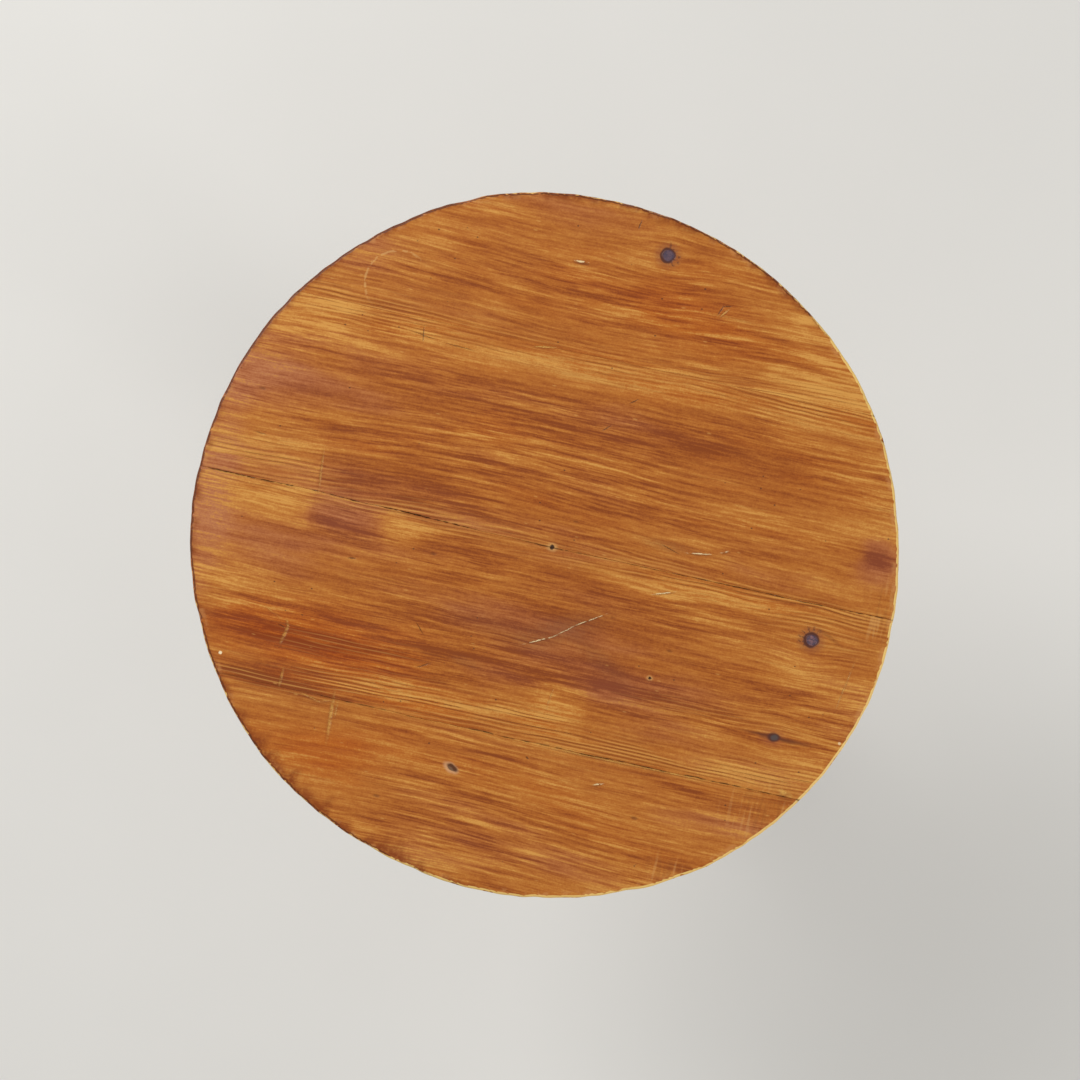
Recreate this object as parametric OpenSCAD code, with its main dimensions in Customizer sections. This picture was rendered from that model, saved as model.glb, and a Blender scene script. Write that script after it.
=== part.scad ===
// Round tilt-top table: a top of four boards on a turned column with three legs.
// +Z is up, the origin is on the floor under the column, and the grain of the top runs along X.
// The top turns about two pins, which are fixed in the block on the column and run in the cleats.

/* [Top] */
// Diameter of the top
top_d = 600; // [580:5:640]
// Thickness of the boards
top_t = 20; // [18:0.5:22]
// Height of the table
table_h = 710; // [690:5:750]
// Joint between the back board and its neighbour
joint_back = 166; // [160:0.5:172]
// Joint near the middle of the top
joint_mid = 2; // [-5:0.5:5]
// Joint between the front board and its neighbour
joint_front = -164.5; // [-172:0.5:-160]
// Rounding of the rim's upper edge
rim_upper_r = 5; // [2:0.5:7]
// Rounding of the rim's lower edge
rim_lower_r = 4; // [2:0.5:7]

/* [Cleats] */
// Length of a cleat, across the boards
cleat_len = 460; // [440:5:480]
// Width of a cleat
cleat_w = 28; // [24:1:34]
// Depth of a cleat at the middle
cleat_h = 32; // [30:1:36]
// Depth of a cleat at its ends
cleat_end_h = 14; // [12:1:18]
// Length of a cleat that has the full depth
cleat_flat = 260; // [240:5:280]

/* [Block and pivot] */
// Width of the block between the cleats
block_w = 150; // [140:2:170]
// Back end of the block, from the column's axis
block_back = 95; // [90:1:98]
// Thickness of the block
block_h = 34; // [32:1:38]
// Distance of the pivot in front of the column's axis
pivot_front = 79; // [74:1:84]
// Depth of the pivot's axis below the boards
pivot_drop = 16; // [15:0.5:17]
// Radius of the pivot pins
pin_r = 8; // [6:0.5:9]
// Depth of the pins in the block
pin_in = 22; // [18:1:26]

/* [Column] */
// Radius of the column where the legs join it
drum_r = 38; // [36:1:42]
// Height of that part of the column
drum_h = 120; // [116:1:130]
// Greatest radius of the vase turning
vase_r = 42; // [38:1:46]
// Radius of the collar under the block
collar_r = 34; // [30:1:36]
// Radius of the tenon through the block
tenon_r = 19; // [17:0.5:21]

/* [Legs] */
// Underside of the legs at the column, above the floor
leg_rise = 95; // [85:1:105]
// Thickness of a leg
leg_t = 28; // [24:1:30]
// Height of a leg at the column
leg_root = 108; // [100:1:112]
// Reach of the toes from the column's axis
leg_reach = 268; // [255:1:280]

/* [Turn-button] */
// Distance of the button's screw behind the column's axis
button_y = 120; // [118:0.5:122]
// Length of the turn-button
button_len = 84; // [80:1:86]
// Width of the turn-button
button_w = 28; // [24:1:32]
// Thickness of the turn-button
button_t = 12; // [10:0.5:12]

/* [Iron brace] */
// Reach of the brace's arms from the column's axis
brace_reach = 74; // [66:1:76]
// Width of an arm
brace_w = 18; // [14:1:22]
// Thickness of the brace
brace_t = 2; // [1.5:0.5:3]

/* [Hidden] */
$fn = 96;

LEFT = -1;
RIGHT = 1;
CUT = 1;
TOP_WOOD = "peru";
BASE_WOOD = "saddlebrown";
IRON = "dimgray";

// Gaps between pieces that move past each other, and fits of pieces that are fixed together
move_gap = 0.3;
side_gap = 0.5;
fixed_fit = 0.02;
run_fit = 0.06;
loose_fit = 0.1;

// Top
top_r = top_d / 2;
top_under = table_h - top_t;

// Pivot and block
pivot_y = -pivot_front;
pivot_z = top_under - pivot_drop;
block_top = top_under - move_gap;
block_under = block_top - block_h;
nose_r = pivot_drop - move_gap;
block_chamfer = 8;
lip_t = 14;
lip_under = block_top - lip_t;
lip_reach = 22;
rebate_y = block_back - lip_reach;

// Cleats
cleat_in = block_w / 2 + side_gap;
cleat_out = cleat_in + cleat_w;
pin_len = pin_in + side_gap + cleat_w;
pin_chamfer = 1;

// Wood screws
screw_r = 2.2;
screw_head_r = 4.4;
screw_head_h = 2.6;
screw_point = 5;
screw_tip_r = 0.5;
slot_w = 1;
slot_h = 0.9;
screw_in_board = 12;
screw_tip = top_under + screw_in_board;
cleat_screw_len = 28;
cleat_screw_y = [-200, -120, -45, 50, 120, 200];
pad_screw_len = 24;
pad_screw_at = [[-10.5, -10.5], [10.5, 10.5]];

// Turn-button, its pad, screw and washer
pad_w = 34;
pad_h = 14.5;
pad_under = top_under - pad_h;
button_top = pad_under - move_gap;
button_under = button_top - button_t;
washer_t = 1.2;
washer_r = 9;
washer_gap = 0.2;
washer_top = button_under - washer_gap;
button_screw_r = 2.5;
button_head_r = 5.5;
button_head_h = 3.2;

// Column: heights of the turnings, from the drum up
drum_top = leg_rise + drum_h;
low_bead = drum_top + 1;
low_bead_h = 13;
vase_foot = drum_top + 17;
vase_belly = drum_top + 85;
vase_flat = 4;
vase_neck = drum_top + 172;
neck_bead = vase_neck + 4;
neck_bead_h = 12;
shaft_foot = neck_bead + 16;
collar_under = block_under - 16;
shaft_head = collar_under - 34;
head_bead = shaft_head + 2;
head_bead_h = 9;
flare_foot = shaft_head + 13;
tenon_sunk = 0.7;
tenon_top = block_top - tenon_sunk;
wedge_w = 3;
wedge_h = 26;

// Column: radii of the turnings, and the bevels of their edges
low_bead_r = drum_r - 9;
vase_foot_r = drum_r - 12;
neck_r = 20;
shaft_foot_r = 23.5;
shaft_head_r = 18.5;
flare_foot_r = 19.5;
foot_bevel = 2;
shoulder_bevel = 3;
collar_lip = 1.5;
collar_step = 1;
collar_rise = 4;

// Dovetails of the legs, which reach a little past the column's surface into the leg
leg_angles = [90, 210, 330];
past_drum = drum_r + 2;
dove_in = 22;
dove_wide = 21;
dove_neck = 15;
dove_h = leg_root - 6;

// Legs: the root, cut to the column, the S-curve's knee, calf and ankle, the toe and the heel, and the
// hollow under the leg, which starts past the end of the brace
root_x = drum_r - 6;
root_top = leg_rise + leg_root;
knee_x = drum_r + 80;
calf_x = leg_reach - 118;
calf_z = 62;
ankle_x = leg_reach - 36;
ankle_z = 33;
toe_z = 20;
toe_under = 10;
toe_bevel_x = 4;
toe_bevel_z = 3;
heel_x = leg_reach - 50;
heel_z = 13;
heel_under = 4;
instep = 8;
arch_x = heel_x - 66;
arch_z = 20;
flat_x = brace_reach + 6;
hollow_x = flat_x + 52;

// Round pads under the feet
foot_x = leg_reach - 24;
foot_r = 18;
foot_h = 14;
foot_round = 6.5;
foot_round_x = 16;

// Iron brace and its screws
brace_under = leg_rise - brace_t;
brace_hub_r = 26;
brace_screw_at = [14, brace_reach - 12];
brace_screw_r = 2;
brace_screw_len = 18;
brace_head_r = 4;
brace_head_h = 1.8;

// Points along an arc, a bead that stands out from radius r, and a smooth change from one radius to another
function arc(x, y, r, a0, a1, n = 6) =
    [for (i = [0:n]) [x + r * cos(a0 + (a1 - a0) * i / n), y + r * sin(a0 + (a1 - a0) * i / n)]];
function bead(r, z, h, n = 8) = arc(r, z + h / 2, h / 2, -90, 90, n);
function ease(r0, r1, z0, z1, n = 8) =
    [for (i = [0:n]) [r0 + (r1 - r0) * (1 - cos(180 * i / n)) / 2, z0 + (z1 - z0) * i / n]];
function bezier(a, b, c, d, n = 12) =
    [for (i = [0:n]) let (t = i / n, s = 1 - t)
        s * s * s * a + 3 * s * s * t * b + 3 * s * t * t * c + t * t * t * d];

// An outline in Y and Z, w thick from x, and one in X and Z, w thick and centred on y = 0
module along_x(x, w) {
    translate([x, 0, 0]) rotate([90, 0, 90]) linear_extrude(w) children();
}
module along_y(w) {
    translate([0, w / 2, 0]) rotate([90, 0, 0]) linear_extrude(w) children();
}

// A countersunk wood screw, and its hole with a recess of depth below under the head. The tip is up
module wood_screw(len) {
    difference() {
        rotate_extrude()
            polygon([[0, 0], [screw_head_r, 0], [screw_r, screw_head_h], [screw_r, len - screw_point],
                [screw_tip_r, len], [0, len]]);
        translate([-screw_head_r - CUT, -slot_w / 2, -CUT])
            cube([2 * screw_head_r + 2 * CUT, slot_w, slot_h + CUT]);
    }
}
module wood_screw_hole(len, below) {
    translate([0, 0, -below])
        cylinder(r = screw_head_r + loose_fit, h = below);
    cylinder(r1 = screw_head_r + loose_fit, r2 = screw_r + loose_fit, h = screw_head_h);
    cylinder(r = screw_r + loose_fit, h = len + loose_fit);
}

// A screw with a low round head that stands out downward from z = 0. The tip is up
module round_screw(len, r, head_r, head_h) {
    dome_r = (head_r * head_r + head_h * head_h) / (2 * head_h);
    dome_a = asin(head_r / dome_r);
    difference() {
        rotate_extrude()
            polygon(concat(arc(0, dome_r - head_h, dome_r, -90, dome_a - 90),
                [[r, 0], [r, len - screw_point], [screw_tip_r, len], [0, len]]));
        translate([-head_r - CUT, -slot_w / 2, -head_h - CUT])
            cube([2 * head_r + 2 * CUT, slot_w, slot_h + CUT]);
    }
}

module at_cleat_screws(side) {
    for (y = cleat_screw_y)
        translate([side * (cleat_in + cleat_w / 2), y, screw_tip - cleat_screw_len])
            children();
}
module at_pad_screws() {
    for (p = pad_screw_at)
        translate([p[0], button_y + p[1], screw_tip - pad_screw_len])
            children();
}

// One board: the strip of the round top between two joints, with the screw holes in its underside
module board(y0, y1) {
    rim = concat([[0, top_under]],
        arc(top_r - rim_lower_r, top_under + rim_lower_r, rim_lower_r, -90, 0),
        arc(top_r - rim_upper_r, table_h - rim_upper_r, rim_upper_r, 0, 90),
        [[0, table_h]]);
    color(TOP_WOOD)
        difference() {
            intersection() {
                rotate_extrude($fn = 180) polygon(rim);
                translate([-top_r - CUT, y0, top_under - CUT])
                    cube([top_d + 2 * CUT, y1 - y0, top_t + 2 * CUT]);
            }
            for (side = [LEFT, RIGHT])
                at_cleat_screws(side)
                    wood_screw_hole(cleat_screw_len, 0);
            at_pad_screws()
                wood_screw_hole(pad_screw_len, 0);
            translate([0, button_y, top_under - CUT])
                cylinder(r = button_screw_r + loose_fit, h = screw_in_board + CUT + loose_fit);
        }
}
module board_front() {
    board(-top_r - CUT, joint_front);
}
module board_mid_front() {
    board(joint_front, joint_mid);
}
module board_mid_back() {
    board(joint_mid, joint_back);
}
module board_back() {
    board(joint_back, top_r + CUT);
}

// A cleat across the boards: full depth about the pivot, then swept up to thin ends
module cleat(side) {
    end_y = cleat_len / 2;
    flat_y = cleat_flat / 2;
    deep = top_under - cleat_h;
    shallow = top_under - cleat_end_h;
    swept = [for (p = ease(deep, shallow, flat_y, end_y)) [p[1], p[0]]];
    swept_front = [for (i = [len(swept) - 1:-1:0]) [-swept[i][0], swept[i][1]]];
    color(TOP_WOOD)
        difference() {
            along_x(side > 0 ? cleat_in : -cleat_out, cleat_w)
                polygon(concat([[-end_y, top_under]], swept_front, swept, [[end_y, top_under]]));
            translate([0, pivot_y, pivot_z])
                rotate([0, side * 90, 0])
                    cylinder(r = pin_r + run_fit, h = cleat_out + CUT);
            at_cleat_screws(side)
                wood_screw_hole(cleat_screw_len, cleat_h);
        }
}
module cleat_left() {
    cleat(LEFT);
}
module cleat_right() {
    cleat(RIGHT);
}
module cleat_screws_left() {
    color(IRON) at_cleat_screws(LEFT) wood_screw(cleat_screw_len);
}
module cleat_screws_right() {
    color(IRON) at_cleat_screws(RIGHT) wood_screw(cleat_screw_len);
}

// The packing piece that brings the turn-button down level with the block's lip
module button_pad() {
    color(TOP_WOOD)
        difference() {
            translate([-pad_w / 2, button_y - pad_w / 2, pad_under])
                cube([pad_w, pad_w, pad_h]);
            at_pad_screws()
                wood_screw_hole(pad_screw_len, pad_h);
            translate([0, button_y, pad_under - CUT])
                cylinder(r = button_screw_r + loose_fit, h = pad_h + 2 * CUT);
        }
}
module pad_screws() {
    color(IRON) at_pad_screws() wood_screw(pad_screw_len);
}

// The turn-button, which lies along X when the top is free. Across, its nose is under the block's lip
module turn_button() {
    round_x = button_len / 2 - button_w / 2;
    color(BASE_WOOD)
        translate([0, button_y, button_under])
            difference() {
                union() {
                    translate([-round_x, -button_w / 2, 0])
                        cube([2 * round_x, button_w, button_t]);
                    for (x = [-round_x, round_x])
                        translate([x, 0, 0])
                            cylinder(r = button_w / 2, h = button_t);
                }
                translate([0, 0, -CUT])
                    cylinder(r = button_screw_r + run_fit, h = button_t + 2 * CUT);
            }
}
module button_washer() {
    color(IRON)
        translate([0, button_y, washer_top - washer_t])
            difference() {
                cylinder(r = washer_r, h = washer_t);
                translate([0, 0, -CUT])
                    cylinder(r = button_screw_r + loose_fit, h = washer_t + 2 * CUT);
            }
}
module button_screw() {
    head_z = washer_top - washer_t;
    color(IRON)
        translate([0, button_y, head_z])
            round_screw(screw_tip - head_z, button_screw_r, button_head_r, button_head_h);
}

// The block. Its front edge is round about the pivot, and its front face stops the top when upright.
// The lip left over the rebate at its back is what the turn-button holds
module block() {
    front = pivot_y - nose_r;
    half = block_w / 2;
    side_outline = concat([[block_back, block_top]],
        arc(pivot_y, pivot_z, nose_r, 90, 180, 8),
        [[front, block_under + block_chamfer], [front + block_chamfer, block_under],
         [rebate_y, block_under], [rebate_y, lip_under], [block_back, lip_under]]);
    end_outline = [
        [half, block_top], [half, block_under + block_chamfer], [half - block_chamfer, block_under],
        [block_chamfer - half, block_under], [-half, block_under + block_chamfer], [-half, block_top]];
    color(BASE_WOOD)
        difference() {
            intersection() {
                along_x(-half, block_w) polygon(side_outline);
                along_y(2 * (block_back + nose_r)) polygon(end_outline);
            }
            translate([0, 0, block_under - CUT])
                cylinder(r = tenon_r + fixed_fit, h = block_h + 2 * CUT);
            for (side = [LEFT, RIGHT])
                translate([side * (half - pin_in), pivot_y, pivot_z])
                    rotate([0, side * 90, 0])
                        cylinder(r = pin_r + fixed_fit, h = pin_in + CUT);
        }
}
module pivot_pin(side) {
    color(BASE_WOOD)
        translate([side * (block_w / 2 - pin_in), pivot_y, pivot_z])
            rotate([0, side * 90, 0])
                rotate_extrude()
                    polygon([[0, 0], [pin_r, 0], [pin_r, pin_len - pin_chamfer],
                        [pin_r - pin_chamfer, pin_len], [0, pin_len]]);
}
module pivot_pin_left() {
    pivot_pin(LEFT);
}
module pivot_pin_right() {
    pivot_pin(RIGHT);
}

// The dovetail of a leg seen from above, grown all round by fit
module dovetail(fit) {
    wide = dove_wide / 2 + fit;
    neck = dove_neck / 2 + fit;
    polygon([[dove_in - fit, -wide], [past_drum, -neck], [past_drum, neck], [dove_in - fit, wide]]);
}

// The holes for the brace's screws: the inner ones in the column, the outer ones in the legs
module brace_screw_holes() {
    for (a = leg_angles)
        for (x = brace_screw_at)
            rotate([0, 0, a])
                translate([x, 0, brace_under - CUT])
                    cylinder(r = brace_screw_r + loose_fit, h = brace_screw_len + CUT + loose_fit);
}

// The turned column: drum, bead, vase, bead, tapered shaft, bead, flare, collar and tenon
module column() {
    turning = concat(
        [[0, leg_rise], [drum_r - foot_bevel, leg_rise], [drum_r, leg_rise + foot_bevel],
         [drum_r, drum_top - shoulder_bevel], [drum_r - shoulder_bevel, drum_top]],
        bead(low_bead_r, low_bead, low_bead_h),
        ease(vase_foot_r, vase_r, vase_foot, vase_belly),
        ease(vase_r, neck_r, vase_belly + vase_flat, vase_neck, 12),
        bead(neck_r, neck_bead, neck_bead_h),
        [[shaft_foot_r, shaft_foot], [shaft_head_r, shaft_head]],
        bead(neck_r, head_bead, head_bead_h),
        [[flare_foot_r, flare_foot - 1]],
        ease(neck_r, collar_r - 2 * collar_lip, flare_foot, collar_under),
        [[collar_r - collar_lip, collar_under + collar_step], [collar_r, collar_under + collar_rise],
         [collar_r, block_under - foot_bevel], [collar_r - foot_bevel, block_under],
         [tenon_r, block_under], [tenon_r, tenon_top], [0, tenon_top]]);
    color(BASE_WOOD)
        difference() {
            rotate_extrude() polygon(turning);
            for (a = leg_angles)
                rotate([0, 0, a])
                    translate([0, 0, leg_rise - CUT])
                        linear_extrude(dove_h + CUT + loose_fit) dovetail(loose_fit);
            brace_screw_holes();
            translate([-tenon_r - CUT, -wedge_w / 2 - fixed_fit, tenon_top - wedge_h - fixed_fit])
                cube([2 * tenon_r + 2 * CUT, wedge_w + 2 * fixed_fit, wedge_h + CUT]);
        }
}
module tenon_wedge() {
    color(TOP_WOOD)
        intersection() {
            translate([-tenon_r, -wedge_w / 2, tenon_top - wedge_h])
                cube([2 * tenon_r, wedge_w, wedge_h]);
            cylinder(r = tenon_r, h = table_h);
        }
}

// One leg. Its side is an S-curve that ends in a foot, and it stands on a round pad
module leg(angle) {
    side = concat(
        [[root_x, leg_rise], [root_x, root_top]],
        bezier([past_drum, root_top], [knee_x, root_top], [calf_x, calf_z], [ankle_x, ankle_z]),
        bezier([ankle_x + 2, ankle_z - 0.3], [ankle_x + 18, ankle_z - 4], [leg_reach, toe_z],
            [leg_reach - 1, toe_under], 6),
        [[leg_reach - toe_bevel_x, toe_bevel_z], [leg_reach - 2 * toe_bevel_x, 0], [heel_x + instep, 0],
         [heel_x + 2, heel_under]],
        bezier([heel_x, heel_z], [arch_x, arch_z], [hollow_x, leg_rise], [flat_x, leg_rise]));
    color(BASE_WOOD)
        rotate([0, 0, angle])
            difference() {
                union() {
                    difference() {
                        along_y(leg_t) polygon(side);
                        cylinder(r = drum_r + loose_fit / 2, h = table_h);
                    }
                    translate([0, 0, leg_rise])
                        linear_extrude(dove_h) dovetail(0);
                    translate([foot_x, 0, 0])
                        rotate_extrude()
                            polygon(concat([[0, 0], [foot_r, 0]],
                                arc(foot_round_x, foot_round, foot_round, -70, 80), [[0, foot_h]]));
                }
                rotate([0, 0, -angle]) brace_screw_holes();
            }
}
module leg_back() {
    leg(leg_angles[0]);
}
module leg_left() {
    leg(leg_angles[1]);
}
module leg_right() {
    leg(leg_angles[2]);
}

// The three-armed iron strap that ties the feet of the dovetails to the column
module iron_brace() {
    color(IRON)
        difference() {
            translate([0, 0, brace_under])
                union() {
                    cylinder(r = brace_hub_r, h = brace_t);
                    for (a = leg_angles)
                        rotate([0, 0, a]) {
                            translate([0, -brace_w / 2, 0])
                                cube([brace_reach - brace_w / 2, brace_w, brace_t]);
                            translate([brace_reach - brace_w / 2, 0, 0])
                                cylinder(r = brace_w / 2, h = brace_t);
                        }
                }
            brace_screw_holes();
        }
}
module brace_screws() {
    color(IRON)
        for (a = leg_angles)
            for (x = brace_screw_at)
                rotate([0, 0, a])
                    translate([x, 0, brace_under])
                        round_screw(brace_screw_len, brace_screw_r, brace_head_r, brace_head_h);
}

board_front();
board_mid_front();
board_mid_back();
board_back();
cleat_left();
cleat_right();
cleat_screws_left();
cleat_screws_right();
button_pad();
pad_screws();
turn_button();
button_washer();
button_screw();
block();
pivot_pin_left();
pivot_pin_right();
column();
tenon_wedge();
leg_back();
leg_left();
leg_right();
iron_brace();
brace_screws();
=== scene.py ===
"""The looks of the round tilt-top table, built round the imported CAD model.

The four boards, the column and the legs are made here as detailed meshes that stand for their CAD nodes.
The other nodes keep their CAD shapes, and get softer edges and materials. Lengths are in metres, except where
a comment says mm, and X runs along the grain of the top.
"""

import math

import bpy
import numpy as np
from mathutils import Matrix, Vector


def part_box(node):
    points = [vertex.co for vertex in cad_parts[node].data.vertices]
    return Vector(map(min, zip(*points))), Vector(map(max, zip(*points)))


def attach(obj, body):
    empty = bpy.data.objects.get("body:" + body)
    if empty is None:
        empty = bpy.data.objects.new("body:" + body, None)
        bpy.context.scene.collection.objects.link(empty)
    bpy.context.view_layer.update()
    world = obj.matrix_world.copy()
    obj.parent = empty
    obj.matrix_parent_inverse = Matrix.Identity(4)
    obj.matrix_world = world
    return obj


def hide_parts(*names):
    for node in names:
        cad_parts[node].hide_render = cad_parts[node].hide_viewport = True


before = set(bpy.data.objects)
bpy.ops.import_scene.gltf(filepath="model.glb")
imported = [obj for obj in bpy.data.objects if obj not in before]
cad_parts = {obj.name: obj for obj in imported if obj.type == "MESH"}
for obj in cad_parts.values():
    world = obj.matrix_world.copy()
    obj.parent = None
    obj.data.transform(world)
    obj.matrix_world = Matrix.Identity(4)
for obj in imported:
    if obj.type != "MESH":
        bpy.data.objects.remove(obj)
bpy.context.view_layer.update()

MM = 0.001
TAU = 2 * math.pi

# ---- Sizes, from the frame ----


def low(node, axis):
    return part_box(node)[0]["xyz".index(axis)]


def high(node, axis):
    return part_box(node)[1]["xyz".index(axis)]


TOP_R = (high("board_mid_back", "x") - low("board_mid_back", "x")) / 2
TOP_Z = high("board_back", "z")
UNDER_Z = low("board_back", "z")
LEG_HALF_THICKNESS = (high("leg_back", "x") - low("leg_back", "x")) / 2

# ---- Small tools ----

# Points of a piece that lie closer together than this are one point
JOIN_DISTANCE = 1e-7
# Edges sharper than this stay sharp, in degrees
SHARP_EDGE = 42


def smooth(a, b, x):
    """0 before a, 1 after b, and an easy slope between. a may be the larger."""
    t = np.clip((x - a) / (b - a), 0, 1)
    return t * t * (3 - 2 * t)


def ripple(x, y, seed, length_x, length_y, waves=14):
    """Smooth noise with a standard deviation of 1, made of waves near the two lengths."""
    rng = np.random.default_rng(seed)
    total = np.zeros(np.broadcast(x, y).shape)
    for _ in range(waves):
        along, across = rng.normal(0, 1, 2)
        total = total + np.cos(TAU * (along * x / length_x + across * y / length_y) + rng.uniform(0, TAU))
    return total / math.sqrt(waves / 2)


def in_metres(rows, *places):
    """Rows of a table, with the values at these places turned from mm into metres."""
    return [tuple(v / 1000 if i in places else v for i, v in enumerate(row)) for row in rows]


def arc(x, y, r, start, end, steps):
    """Points on a circle, with angles in degrees."""
    turn = np.radians(np.linspace(start, end, steps + 1))
    return [(x + r * math.cos(a), y + r * math.sin(a)) for a in turn]


def ease(r0, r1, z0, z1, steps):
    """A smooth change of radius from one height to another."""
    return [(r0 + (r1 - r0) * (1 - math.cos(math.pi * i / steps)) / 2, z0 + (z1 - z0) * i / steps)
            for i in range(steps + 1)]


def bead(r, z, height, steps=14):
    """A half-round ring that stands out from radius r."""
    return arc(r, z + height / 2, height / 2, -90, 90, steps)


def bezier(a, b, c, d, steps):
    """Points of a cubic curve in a plane."""
    t = np.linspace(0, 1, steps + 1)[:, None]
    s = 1 - t
    return s**3 * np.array(a) + 3 * s * s * t * np.array(b) + 3 * s * t * t * np.array(c) + t**3 * np.array(d)


def link(thing):
    """Puts an object into the scene."""
    bpy.context.scene.collection.objects.link(thing)


def make_piece(name, points, faces, body, node, materials, attributes, face_material=None, flat=None):
    """A mesh from points and faces, riding on its body and standing for a CAD node. Points that coincide
    are joined, and faces that collapse are left out. The face numbered flat isn't smoothed."""
    keys = np.round(points / JOIN_DISTANCE).astype(np.int64)
    _, first, back = np.unique(keys, axis=0, return_index=True, return_inverse=True)
    order = np.argsort(first)
    place = np.empty(len(order), int)
    place[order] = np.arange(len(order))
    new_index = place[back.reshape(-1)]
    kept = first[order]
    clean, slots, smoothed = [], [], []
    for i, face in enumerate(faces):
        ring = list(dict.fromkeys(new_index[list(face)].tolist()))
        if len(ring) >= 3:
            clean.append(ring)
            slots.append(face_material[i] if face_material else 0)
            smoothed.append(i != flat)
    mesh = bpy.data.meshes.new(name)
    mesh.from_pydata(points[kept].tolist(), [], clean)
    for key, values in attributes.items():
        kind, field = ("FLOAT_VECTOR", "vector") if values.ndim == 2 else ("FLOAT", "value")
        layer = mesh.attributes.new(key, kind, "POINT")
        layer.data.foreach_set(field, values[kept].astype(np.float32).ravel())
    for m in materials:
        mesh.materials.append(m)
    mesh.polygons.foreach_set("material_index", slots)
    mesh.polygons.foreach_set("use_smooth", smoothed)
    mesh.update()
    mesh.validate()
    mesh.set_sharp_from_angle(angle=math.radians(SHARP_EDGE))
    piece = bpy.data.objects.new(name, mesh)
    link(piece)
    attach(piece, body)
    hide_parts(node)


# ---- Shader nodes ----

COAT_ROUGHNESS = 0.25


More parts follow.
